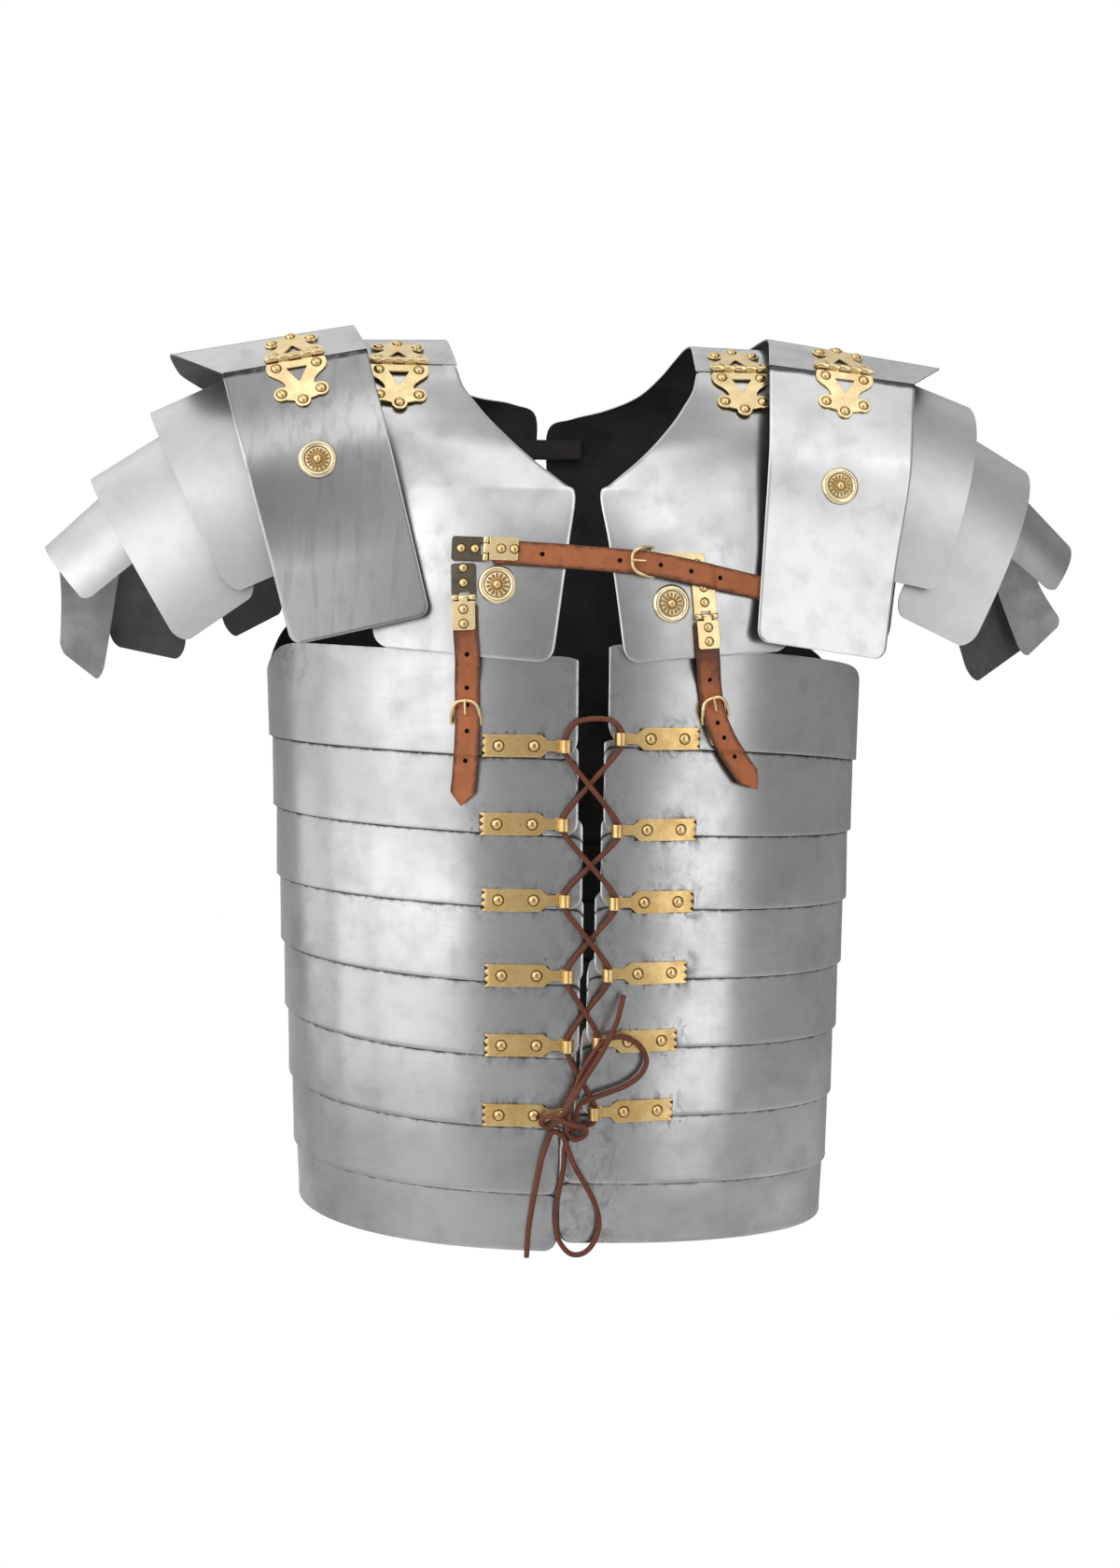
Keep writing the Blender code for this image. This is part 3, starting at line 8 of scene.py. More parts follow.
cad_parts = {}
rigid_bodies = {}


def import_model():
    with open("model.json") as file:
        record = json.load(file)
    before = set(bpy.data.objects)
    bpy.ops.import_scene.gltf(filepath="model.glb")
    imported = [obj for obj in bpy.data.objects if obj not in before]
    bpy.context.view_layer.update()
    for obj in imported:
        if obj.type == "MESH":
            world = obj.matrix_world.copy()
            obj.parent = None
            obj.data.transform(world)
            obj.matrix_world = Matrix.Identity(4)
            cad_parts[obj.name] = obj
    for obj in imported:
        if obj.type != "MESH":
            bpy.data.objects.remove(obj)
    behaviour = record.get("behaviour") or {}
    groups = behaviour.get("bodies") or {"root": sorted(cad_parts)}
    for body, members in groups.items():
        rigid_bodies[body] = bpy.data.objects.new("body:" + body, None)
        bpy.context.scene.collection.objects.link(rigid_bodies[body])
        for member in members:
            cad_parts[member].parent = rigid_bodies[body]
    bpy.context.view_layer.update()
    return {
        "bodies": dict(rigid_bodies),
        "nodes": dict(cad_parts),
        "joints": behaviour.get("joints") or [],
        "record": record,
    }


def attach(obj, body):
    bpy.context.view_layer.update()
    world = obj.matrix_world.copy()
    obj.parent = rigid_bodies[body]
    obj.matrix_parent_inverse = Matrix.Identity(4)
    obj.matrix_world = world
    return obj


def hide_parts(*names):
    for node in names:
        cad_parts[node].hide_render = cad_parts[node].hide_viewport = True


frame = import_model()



# ---------------------------------------------------------------- driving sizes
SHEET = 0.0012            # steel plate thickness
BRASS = 0.0012            # brass fitting thickness
GAP = 0.0004              # clearance between neighbouring pieces
LEATHER = 0.0024          # strap thickness
STRAP_WIDTH = 0.015
LACE_DIAMETER = 0.0034
OVAL = 2.25               # exponent of the torso's plan outline
SIDES = (("right", -1.0), ("left", 1.0))
# Torso bands: lower edge, half-width and half-depth at the lower edge,
# front opening and where its middle lies, radius of the front corners, and
# how much lower than its sides each half hangs in front.
HOOP_COLUMNS = ("bottom", "half_width", "half_depth", "gap", "middle", "corner", "drop_right", "drop_left")
HOOPS = [
    dict(zip(HOOP_COLUMNS, row))
    for row in (
        (-0.274, 0.2035, 0.1420, 0.0190, 0.0038, 0.012, 0.0015, -0.0080),
        (-0.321, 0.2005, 0.1395, 0.0160, 0.0031, 0.009, 0.0029, 0.0000),
        (-0.368, 0.1980, 0.1375, 0.0115, 0.0042, 0.009, 0.0022, 0.0003),
        (-0.412, 0.1950, 0.1355, 0.0070, 0.0032, 0.009, 0.0062, 0.0008),
        (-0.457, 0.1922, 0.1335, 0.0042, 0.0002, 0.009, 0.0084, 0.0002),
        (-0.503, 0.1892, 0.1310, 0.0022, -0.0024, 0.009, 0.0081, -0.0010),
        (-0.550, 0.1858, 0.1285, 0.0012, -0.0130, 0.009, 0.0041, -0.0035),
        (-0.588, 0.1820, 0.1250, 0.0012, -0.0142, 0.009, 0.0036, -0.0022),
    )
]
ARM_SHARP = 30            # how far out towards the arms it stays level
HOOP_TOP = -0.210         # top edge of the first band at the front
BACK_RISE = 0.022         # how much higher it stands at the back
ARM_DIP = 0.020           # how far that edge drops under the arms
OVERLAP = 0.012           # how far a band reaches up behind the one above
HOOP_STEP = 0.0012        # clearance where two bands overlap
TORSO_MIDDLE = 0.0030     # the torso bands hang this far to the left
TORSO_SLANT = 0.040       # and a little lower on that side
# Lace loops: where the curled end stands on each side, across and up.
TIE_COLUMNS = ("right", "right_z", "left", "left_z")
TIES = [
    dict(zip(TIE_COLUMNS, row))
    for row in (
        (-0.0140, -0.2666, 0.0208, -0.2620),
        (-0.0145, -0.3158, 0.0194, -0.3196),
        (-0.0130, -0.3638, 0.0183, -0.3656),
        (-0.0105, -0.4117, 0.0150, -0.4111),
        (-0.0101, -0.4563, 0.0092, -0.4546),
        (-0.0110, -0.5013, 0.0074, -0.4999),
    )
]
TIE_LENGTH = 0.052        # curled end's axis to the outer end
TIE_WIDTH = 0.014
TIE_NECK = 0.008
CURL = 0.0033             # radius of the curled end's middle line
CURL_TURN = math.radians(285)
# Collar front: each row runs from the neck edge to the outer edge.
ROW = ("x_in", "y_in", "z_in", "x_out", "y_out", "z_out")
BREAST = [
    dict(zip(ROW, row))
    for row in (
        (0.0785, -0.0800, -0.0250, 0.1380, -0.0800, -0.0250),
        (0.0750, -0.0865, -0.0360, 0.1385, -0.0850, -0.0365),
        (0.0675, -0.0945, -0.0475, 0.1388, -0.0905, -0.0485),
        (0.0590, -0.1035, -0.0590, 0.1390, -0.0950, -0.0610),
        (0.0450, -0.1155, -0.0745, 0.1392, -0.1005, -0.0760),
        (0.0330, -0.1228, -0.0860, 0.1394, -0.1050, -0.0890),
        (0.0150, -0.1310, -0.1020, 0.1394, -0.1093, -0.1040),
        (0.0080, -0.1342, -0.1090, 0.1394, -0.1118, -0.1140),
        (0.0122, -0.1419, -0.1380, 0.1390, -0.1173, -0.1400),
        (0.0165, -0.1455, -0.1680, 0.1375, -0.1212, -0.1680),
        (0.0200, -0.1466, -0.1940, 0.1345, -0.1237, -0.1900),
        (0.0228, -0.1468, -0.2150, 0.1310, -0.1250, -0.2060),
    )
]
# Collar top and back: rows from the front hinge line, over the shoulder and
# down the back.
COLLAR = [
    dict(zip(ROW, row))
    for row in (
        (0.0787, -0.0780, -0.0222, 0.1380, -0.0780, -0.0222),
        (0.0800, -0.0635, -0.0140, 0.1385, -0.0635, -0.0140),
        (0.0815, -0.0490, -0.0058, 0.1390, -0.0490, -0.0058),
        (0.0830, -0.0340, 0.0000, 0.1390, -0.0340, -0.0012),
        (0.0840, -0.0150, 0.0024, 0.1390, -0.0150, 0.0004),
        (0.0845, 0.0050, 0.0026, 0.1390, 0.0050, 0.0004),
        (0.0830, 0.0300, -0.0010, 0.1390, 0.0300, -0.0030),
        (0.0770, 0.0600, -0.0100, 0.1390, 0.0580, -0.0120),
        (0.0660, 0.0860, -0.0195, 0.1390, 0.0780, -0.0260),
        (0.0460, 0.1080, -0.0270, 0.1390, 0.0930, -0.0450),
        (0.0220, 0.1220, -0.0325, 0.1390, 0.1030, -0.0660),
        (0.0046, 0.1285, -0.0410, 0.1390, 0.1090, -0.0880),
        (0.0046, 0.1345, -0.0800, 0.1390, 0.1150, -0.1200),
        (0.0046, 0.1400, -0.1250, 0.1385, 0.1200, -0.1550),
        (0.0046, 0.1437, -0.1700, 0.1360, 0.1245, -0.1850),
        (0.0046, 0.1458, -0.2120, 0.1320, 0.1275, -0.2120),
    )
]
COLLAR_BOW = 1.8          # how the collar's depth falls off towards the arm
NAPE_LIFT = {"right": 0.010, "left": 0.0}
# Upper shoulder guard.
GUARD_REACH = 0.093       # hinge lines stand this far before and behind the crest
GUARD_RISE = 0.0215       # crest above the hinge lines
GUARD_BEND = 0.058        # where the top leaf bends down towards its hinges
GUARD_BEND_SOFT = 0.006
LEAF_LENGTH = 0.176       # front and back leaves, measured down
LEAF_BEND = 0.055
LEAF_BEND_SOFT = 0.007
LEAF_SLOPES = (0.48, 0.180)           # outward run per drop, above and below the bend
LEAF_GAP = 0.0022         # hinge line to the leaf's upper edge
LEAF_CORNER = 0.008
BACK_LEAF_DEPTH = 0.002   # the back leaf stands this much nearer the body
# Corners of the guards as they hang, x from the middle and z: the hinge
# line's ends, the crest's ends and the front and back leaves' feet.
GUARD_COLUMNS = ("edge_in", "edge_out", "crest_in", "crest_out", "foot_in", "foot_out")
GUARDS = {
    "right": dict(zip(GUARD_COLUMNS, (
        (0.1370, -0.0155), (0.2280, -0.0335), (0.1460, 0.0070), (0.2655, -0.0155),
        (0.0985, -0.1856), (0.1836, -0.2055),
    ))),
    "left": dict(zip(GUARD_COLUMNS, (
        (0.1245, -0.0190), (0.2225, -0.0290), (0.1325, 0.0055), (0.2545, -0.0115),
        (0.1075, -0.2000), (0.1935, -0.2115),
    ))),
}
# Outer arm bands: edges at the crest, at the front end and at the back end.
BAND_COLUMNS = (
    "crest_in", "crest_out", "front_in", "front_out", "back_in", "back_out",
    "front_reach", "back_reach",
)
BANDS = {
    "right": [dict(zip(BAND_COLUMNS, row)) for row in (
        ((0.2190, -0.0215), (0.2795, -0.0505), (0.1750, -0.1527), (0.2219, -0.1737),
         (0.1910, -0.1800), (0.2326, -0.2021), 0.108, 0.106),
        ((0.2600, -0.0570), (0.3182, -0.0950), (0.2040, -0.1715), (0.2537, -0.2063),
         (0.2639, -0.2177), (0.3180, -0.2065), 0.101, 0.100),
        ((0.2990, -0.0945), (0.3478, -0.1404), (0.2800, -0.1490), (0.3154, -0.1788),
         (0.3225, -0.2338), (0.3519, -0.2106), 0.074, 0.088),
    )],
    "left": [dict(zip(BAND_COLUMNS, row)) for row in (
        ((0.2250, -0.0120), (0.2810, -0.0327), (0.1890, -0.1570), (0.2371, -0.1665),
         (0.2220, -0.1850), (0.2660, -0.2025), 0.108, 0.106),
        ((0.2680, -0.0440), (0.3240, -0.0761), (0.2070, -0.1800), (0.2601, -0.2048),
         (0.3299, -0.2323), (0.3750, -0.2003), 0.101, 0.100),
        ((0.3100, -0.0830), (0.3540, -0.1271), (0.2920, -0.1380), (0.3273, -0.1658),
         (0.3667, -0.2120), (0.3973, -0.1830), 0.074, 0.088),
    )],
}
BAND_SQUARE = 0.86        # below 1 squares the arch's shoulders
BAND_CORNER = 0.007
# Lobed hinges, half outline of one leaf: across and down from the pin.
HINGE_WIDTH = 0.037
COLLAR_HINGE_AT = {"right": 0.638, "left": 0.490}
PIN_RADIUS = 0.0008
KNUCKLE_RADIUS = 0.0021
KNUCKLE_BORE = 0.0011
KNUCKLES = 5
LOBE_RADIUS = 0.0050
LOBE_COLUMNS = ("across", "down")
SHOULDER_OF_LEAF = ((0.0185, 0.0030), (0.0190, 0.0080), (0.0165, 0.0118), (0.0098, 0.0160), (0.0088, 0.0190))
LOBES = ((0.0125, 0.0262), (0.0, 0.0322))
ROSETTE_RADIUS = 0.0122
ROSETTE_DOME = 0.0032


# ---------------------------------------------------------------- small maths
def mix(a, b, t):
    return a + (b - a) * t


def softplus(value, width):
    if value > 30 * width:
        return value
    return width * math.log1p(math.exp(value / width))


def smooth_step(value):
    value = min(1.0, max(0.0, value))
    return value * value * (3 - 2 * value)


def catmull(values, position):
    """Value at a fractional index of a list, along a smooth curve."""
    last = len(values) - 1
    i = min(int(position), last - 1)
    t = position - i
    p1, p2 = values[i], values[i + 1]
    p0 = values[i - 1] if i > 0 else 2 * p1 - p2
    p3 = values[i + 2] if i + 2 <= last else 2 * p2 - p1
    return 0.5 * (
        2 * p1 + (p2 - p0) * t + (2 * p0 - 5 * p1 + 4 * p2 - p3) * t * t
        + (3 * p1 - p0 - 3 * p2 + p3) * t ** 3
    )


def signed_power(value, power):
    return math.copysign(abs(value) ** power, value)


# ---------------------------------------------------------------- surfaces
def loft(rows, bow):
    """A point of a plate from its table: u from the inner to the outer edge,
    v from the first row to the last."""
    columns = {name: [row[name] for row in rows] for name in ROW}

    def point(u, v):
        at = v * (len(rows) - 1)
        c = {name: catmull(columns[name], at) for name in ROW}
        return Vector((
            mix(c["x_in"], c["x_out"], u),
            mix(c["y_in"], c["y_out"], u ** bow),
            mix(c["z_in"], c["z_out"], u),
        ))

    return point


breast = loft(BREAST, COLLAR_BOW)
collar = loft(COLLAR, COLLAR_BOW)


def collar_back(u, v, side):
    """The collar's top and back; the nape's edge stands higher on one side."""
    name, sign = side
    p = collar(u, v)
    lift = NAPE_LIFT[name] * (1 - u) * smooth_step((v - 0.48) / 0.20) * (1 - smooth_step((v - 0.78) / 0.20))
    return Vector((sign * p.x, p.y, p.z + lift))


def torso_size(index, v):
    """Half-width and half-depth of a torso band at v, 0 its top, 1 its bottom."""
    low = HOOPS[index]
    if index == 0:
        return low["half_width"] + 0.0015 * (1 - v), low["half_depth"] + 0.0002 * (1 - v)
    inside = SHEET + HOOP_STEP
    above = HOOPS[index - 1]
    reach = OVERLAP / (above["bottom"] + OVERLAP - low["bottom"])
    width_top, depth_top = above["half_width"] - inside, above["half_depth"] - inside
    t = smooth_step((v - reach) / (1 - reach)) if v > reach else 0.0
    return mix(width_top, low["half_width"], t), mix(depth_top, low["half_depth"], t)


def torso_top(index, turn):
    if index == 0:
        rise = BACK_RISE * smooth_step(-1.6 * math.cos(turn))
        return HOOP_TOP + rise - ARM_DIP * abs(math.sin(turn)) ** ARM_SHARP
    return HOOPS[index - 1]["bottom"] + OVERLAP


def front_drop(index, x):
    """How much lower than its sides a torso band hangs in front."""
    hoop = HOOPS[index]
    along = min(1.0, abs(x - TORSO_MIDDLE) / hoop["half_width"])
    return hoop["drop_right" if x < hoop["middle"] else "drop_left"] * (1 - along ** 4)


def torso_point(index, turn, v):
    """turn runs from the middle of the front, towards +X, round the back."""
    a, b = torso_size(index, v)
    top = torso_top(index, turn)
    x = a * signed_power(math.sin(turn), 2 / OVAL)
    drop = front_drop(index, TORSO_MIDDLE + x) if math.cos(turn) > 0 else 0.0
    return Vector((
        TORSO_MIDDLE + x,
        -b * signed_power(math.cos(turn), 2 / OVAL),
        mix(top, HOOPS[index]["bottom"], v) - TORSO_SLANT * x - drop,
    ))


def turn_at(index, x, v=1.0):
    """The turn on the front half where a torso band has this x."""
    a, _ = torso_size(index, v)
    return math.asin(signed_power((x - TORSO_MIDDLE) / a, OVAL / 2))


def band_at(x, z):
    level = z + TORSO_SLANT * (x - TORSO_MIDDLE)
    for index, hoop in enumerate(HOOPS):
        if level + front_drop(index, x) >= hoop["bottom"]:
            return index
    return len(HOOPS) - 1


def torso_front(x, z, index=None):
    """Depth of the torso's outer front surface at x and z."""
    index = band_at(x, z) if index is None else index
    level = z + TORSO_SLANT * (x - TORSO_MIDDLE) + front_drop(index, x)
    top = torso_top(index, 0.0)
    v = min(1.0, max(0.0, (top - level) / (top - HOOPS[index]["bottom"])))
    a, b = torso_size(index, v)
    return -b * (1 - (abs(x - TORSO_MIDDLE) / a) ** OVAL) ** (1 / OVAL)


def breast_front(x, z):
    """Depth of the breast plates' outer surface at x and z."""
    low, high = 0.0, 1.0
    for _ in range(24):
        v = (low + high) / 2
        edge_in, edge_out = breast(0, v), breast(1, v)
        u = min(1.0, max(0.0, (abs(x) - edge_in.x) / (edge_out.x - edge_in.x)))
        if breast(u, v).z > z:
            low = v
        else:
            high = v
    return breast(u, v).y


def front_depth(x, z):
    """Outer surface in front: the breast plates, then the torso bands."""
    foot = BREAST[-1]["z_in"]
    if z > foot + 0.004:
        return breast_front(x, z)
    t = smooth_step((foot + 0.004 - z) / 0.020)
    return mix(breast_front(x, foot + 0.004), torso_front(x, min(z, HOOP_TOP - 0.006)), t)


def guard_drop(y):
    """How far the top leaf has fallen from its crest at this depth."""
    bend = 0.595 * softplus(abs(y) - GUARD_BEND, GUARD_BEND_SOFT)
    scale = (GUARD_RISE - 0.0012) / (0.595 * softplus(GUARD_REACH - GUARD_BEND, GUARD_BEND_SOFT))
    return bend * scale + 0.0012 * (y / GUARD_REACH) ** 2


def guard_top(u, v, side):
    """Top leaf: u from the neck outwards, v from the front to the back."""
    name, sign = side
    guard = GUARDS[name]
    y = mix(-GUARD_REACH, GUARD_REACH, v)
    t = guard_drop(y) / GUARD_RISE
    edge = []
    for end in ("in", "out"):
        (cx, cz), (ex, ez) = guard["crest_" + end], guard["edge_" + end]
        edge.append((mix(cx, ex, t), mix(cz, ez, t)))
    return Vector((sign * mix(edge[0][0], edge[1][0], u), y, mix(edge[0][1], edge[1][1], u)))


def leaf_point(u, v, side, front=True):
    """Front or back leaf: u from the neck outwards, v from the hinge down."""
    name, sign = side
    guard = GUARDS[name]
    drop = v * LEAF_LENGTH
    steep, flat = LEAF_SLOPES
    run = steep * drop - (steep - flat) * softplus(drop - LEAF_BEND, LEAF_BEND_SOFT)
    depth = GUARD_REACH + 0.0012 + run - 0.010 * u * smooth_step((drop - 0.05) / 0.08)
    if not front:
        depth -= BACK_LEAF_DEPTH * smooth_step(drop / 0.12)
    edge = []
    for end in ("in", "out"):
        (ex, ez), (fx, fz) = guard["edge_" + end], guard["foot_" + end]
        edge.append((mix(ex, fx, v), mix(ez - LEAF_GAP, fz, v)))
    return Vector((sign * mix(edge[0][0], edge[1][0], u), -depth if front else depth, mix(edge[0][1], edge[1][1], u)))


def band_point(index, u, v, side):
    """Outer arm band: u from its inner to its outer edge, v from its front end
    over the arm to its back end."""
    name, sign = side
    band = BANDS[name][index]
    swing = (v * 2 - 1) * math.pi / 2
    end = "front" if swing < 0 else "back"
    fall = 1 - abs(math.cos(swing)) ** BAND_SQUARE
    reach = band[end + "_reach"]
    edge = []
    for at in ("in", "out"):
        cx, cz = band["crest_" + at]
        ex, ez = band[end + "_" + at]
        edge.append((mix(cx, ex, fall), mix(cz, ez, fall)))
    x, z = mix(edge[0][0], edge[1][0], u), mix(edge[0][1], edge[1][1], u)
    y = reach * signed_power(math.sin(swing), BAND_SQUARE)
    return Vector((sign * x, y, z))


def rounded(length_u, length_v, radius, corners=(True, True, True, True)):
    """Limits of v for rounded corners: (u0 v0), (u1 v0), (u0 v1), (u1 v1)."""

    def limits(u):
        cut = [0.0, 0.0]
        for at_one, along in ((False, u * length_u), (True, (1 - u) * length_u)):
            if along < radius:
                trim = radius - math.sqrt(max(0.0, radius ** 2 - (radius - along) ** 2))
                for k in (0, 1):
                    if corners[k * 2 + (1 if at_one else 0)]:
                        cut[k] = max(cut[k], trim / length_v)
        return cut[0], 1 - cut[1]

    return limits


def away_from(x, y, z, flat=False):
    def direction(p):
        d = Vector((p.x - x, p.y - y, 0 if flat else p.z - z))
        return d

    return direction


COLUMNS = 34


# ---------------------------------------------------------------- laid-on parts
def laid_on(surface, u, v, du=0.02, dv=0.02, outward=Vector((0, -1, 0)), across=None):
    """Frame on a surface: origin, across, down and outward directions."""
    here = surface(u, v)
    a = surface(u + du, v) - surface(u - du, v)
    b = surface(u, v + dv) - surface(u, v - dv)
    n = a.cross(b).normalized()
    if n.dot(outward) < 0:
        n = -n
    if across is not None:
        a = Vector(across)
    a = (a - n * a.dot(n)).normalized()
    down = b - n * b.dot(n)
    down = (down - a * down.dot(a)).normalized()
    return here, a, down, n


def frame_matrix(origin, across, down, out):
    """Local x across, local y down, local z out of the surface."""
    m = Matrix.Identity(4)
    for i, axis in enumerate((across, down, out)):
        for k in range(3):
            m[k][i] = axis[k]
    m.translation = origin
    return m


def clearance(surface, frame, reach_across, reach_down):
    """How far the surface rises above the frame's plane within its reach."""
    origin, across, down, out = frame
    highest = 0.0
    for i in range(41):
        for j in range(41):
            p = surface(i / 40, j / 40) - origin
            a, d = p.dot(across), p.dot(down)
            if reach_across[0] <= a <= reach_across[1] and reach_down[0] <= d <= reach_down[1]:
                highest = max(highest, p.dot(out))
    return highest


def knuckle_span(k):
    pitch = HINGE_WIDTH / KNUCKLES
    start = -HINGE_WIDTH / 2 + k * pitch + (0.00018 if k else 0)
    end = -HINGE_WIDTH / 2 + (k + 1) * pitch - (0.00018 if k < KNUCKLES - 1 else 0)
    return start, end


def two_leaf_hinge(side, upper, lower, u, v_upper, v_lower):
    """Pin axis and the frames of the two leaves: upper on the surface behind
    the hinge line, lower on the surface below it. Both surfaces start at v=0."""
    frames = []
    for surface, v_far in ((upper, v_upper), (lower, v_lower)):
        near = surface(u, 0.0)
        far = surface(u, v_far)
        line = surface(u + 0.2, 0.0) - surface(u - 0.2, 0.0)
        down = far - near
        out = line.cross(down).normalized()
        if out.dot(Vector((0, -1, 1))) < 0:
            out = -out
        line.normalize()
        down = (down - line * down.dot(line)).normalized()
        out = (out - line * out.dot(line)).normalized()
        across = down.cross(out)
        frame = (near, across, down, out)
        rise = clearance(surface, frame, (-0.020, 0.020), (0.0, 0.038))
        frames.append((frame, rise))
    (first, rise_1), (second, rise_2) = frames
    stand = KNUCKLE_RADIUS + GAP
    # The pin's axis stands off both planes.
    rows = Matrix((first[3], second[3], first[1]))
    values = Vector((
        first[3].dot(first[0]) + stand + rise_1,
        second[3].dot(second[0]) + stand + rise_2,
        first[1].dot(first[0]),
    ))
    centre = rows.inverted() @ values
    made = []
    for frame, _ in frames:
        origin, across, down, out = frame
        made.append(frame_matrix(centre, across, down, out))
    return centre, first[1], made


HINGE_AT = {"right": 0.50, "left": 0.51}     # share of the guard's width
# Round bosses.
BREAST_BOSS = {"right": (0.0572, -0.1665), "left": (0.0521, -0.1770)}


def uv_of(surface, x, z):
    """u and v of a plate where its surface has this |x| and z."""
    u, v = 0.5, 0.5
    for _ in range(40):
        here = surface(u, v)
        ex, ez = x - here.x, z - here.z
        du = surface(u + 0.01, v) - surface(u - 0.01, v)
        dv = surface(u, v + 0.01) - surface(u, v - 0.01)
        det = du.x * dv.z - dv.x * du.z
        u += 0.02 * (ex * dv.z - ez * dv.x) / det
        v += 0.02 * (du.x * ez - du.z * ex) / det
    return u, v


GUARD_BOSS = {"right": (0.51, 0.37), "left": (0.51, 0.41)}


# ---------------------------------------------------------------- straps
def along_path(rows):
    """A smooth path through rows of x, z and stand-off, by length."""
    columns = list(zip(*rows))

    def at(t):
        k = t * (len(rows) - 1)
        return tuple(catmull(c, k) for c in columns)

    return at


def strap_frame(x, z, direction, reach=0.012):
    """Frame at x, z on the front: x across the strap, y along it, z outwards."""
    dx, dz = direction
    size = math.hypot(dx, dz)
    dx, dz = dx / size, dz / size
    step = reach
    here = Vector((x, front_depth(x, z), z))
    along = Vector((
        2 * step * dx, front_depth(x + step * dx, z + step * dz) - front_depth(x - step * dx, z - step * dz), 2 * step * dz
    )).normalized()
    side_x, side_z = dz, -dx
    across = Vector((
        2 * step * side_x, front_depth(x + step * side_x, z + step * side_z) - front_depth(x - step * side_x, z - step * side_z),
        2 * step * side_z,
    ))
    across = (across - along * across.dot(along)).normalized()
    out = across.cross(along).normalized()
    if out.y > 0:
        across, out = -across, -out
    return here, across, along, out


def lift_above(frame, box, samples=9):
    """How far the front surface rises above a frame's plane within a box."""
    here, across, along, out = frame
    (a0, a1), (b0, b1) = box
    worst = 0.0
    for i in range(samples):
        for j in range(samples):
            p = here + across * mix(a0, a1, i / (samples - 1)) + along * mix(b0, b1, j / (samples - 1))
            surface = Vector((p.x, front_depth(p.x, p.z), p.z))
            worst = max(worst, (surface - p).dot(out))
    return worst


FITTING_WIDTH = 0.0155
FIXED_LENGTH = 0.0205
MOVING_LENGTH = 0.0205
FITTING_TOP = 0.0033      # underside of the plate that grips the strap's end
BUCKLE_HALF = 0.0104
BUCKLE_REACH = 0.0145
BUCKLE_WIRE = 0.0011
BUCKLE_BAR = 0.0016       # height of the bar's middle above the surface
BUCKLE_ARC = 0.0058       # height of the arc's middle
# Knuckle of each strap fitting, the buckle's bar, and the strap's route
# as rows of x, z and stand-off of its inner face.
STRAP_ROWS = {
    "collar": {
        "fitting": (-0.0640, -0.1447), "fitting_way": (1.0, -0.03),
        "buckle": (0.0400, -0.1515), "buckle_way": (1.0, 0.0), "plate": (0.034, 0.0125),
        "route": (
            (-0.0600, -0.1460, 0.0006), (-0.0420, -0.1468, 0.0006), (-0.0200, -0.1480, 0.0008),
            (0.0000, -0.1494, 0.0008), (0.0180, -0.1506, 0.0007), (0.0270, -0.1512, 0.0010),
            (0.0345, -0.1519, 0.0016), (0.0400, -0.1525, 0.0023), (0.0480, -0.1537, 0.0022), (0.0610, -0.1561, 0.0020),
            (0.0760, -0.1590, 0.0026), (0.0900, -0.1618, 0.0022), (0.1040, -0.1645, 0.0008), (0.1150, -0.1668, 0.0006),
        ),
        "tip": 0.0,
    },
    "right": {
        "fitting": (-0.0776, -0.1748), "fitting_way": (0.02, -1.0),
        "buckle": (-0.0752, -0.2530), "buckle_way": (0.0, -1.0), "plate": (0.016, 0.0125),
        "route": (
            (-0.0774, -0.1795, 0.0006), (-0.0769, -0.1955, 0.0006), (-0.0758, -0.2120, 0.0008),
            (-0.0754, -0.2290, 0.0007), (-0.0752, -0.2385, 0.0007), (-0.0752, -0.2450, 0.0014), (-0.0752, -0.2505, 0.0031),
            (-0.0753, -0.2560, 0.0036), (-0.0757, -0.2680, 0.0034), (-0.0764, -0.2820, 0.0044),
            (-0.0776, -0.2950, 0.0042), (-0.0786, -0.3040, 0.0040),
        ),
        "tip": 0.010,
    },
    "left": {
        "fitting": (0.0742, -0.1850), "fitting_way": (0.08, -1.0),
        "buckle": (0.0822, -0.2500), "buckle_way": (0.28, -1.0), "plate": (0.016, 0.0125),
        "route": (
            (0.0747, -0.1898, 0.0006), (0.0757, -0.2030, 0.0006), (0.0769, -0.2170, 0.0008),
            (0.0783, -0.2270, 0.0007), (0.0797, -0.2360, 0.0007), (0.0807, -0.2420, 0.0014), (0.0817, -0.2475, 0.0031),
            (0.0842, -0.2540, 0.0036), (0.0896, -0.2645, 0.0036), (0.0970, -0.2755, 0.0046),
            (0.1052, -0.2862, 0.0046), (0.1118, -0.2944, 0.0044),
        ),
        "tip": 0.010,
    },
}
# The dark strap across the opening of the collar's back, inside the plates.
BACK_STRAP_Z = -0.0560
BACK_STRAP_HALF = 0.030


def back_depth(x, z):
    u, v = uv_of(collar, max(abs(x), 0.0048), z) if abs(x) > 0.006 else uv_of(collar, 0.0062, z)
    return collar(u, v).y


def back_strap_point(u, v):
    x = mix(-BACK_STRAP_HALF, BACK_STRAP_HALF, u)
    z = BACK_STRAP_Z + (v - 0.5) * STRAP_WIDTH
    return Vector((x, collar(0.0, 0.78).y - SHEET - 0.0040 - 0.06 * abs(x) - 1.2 * x * x, z))


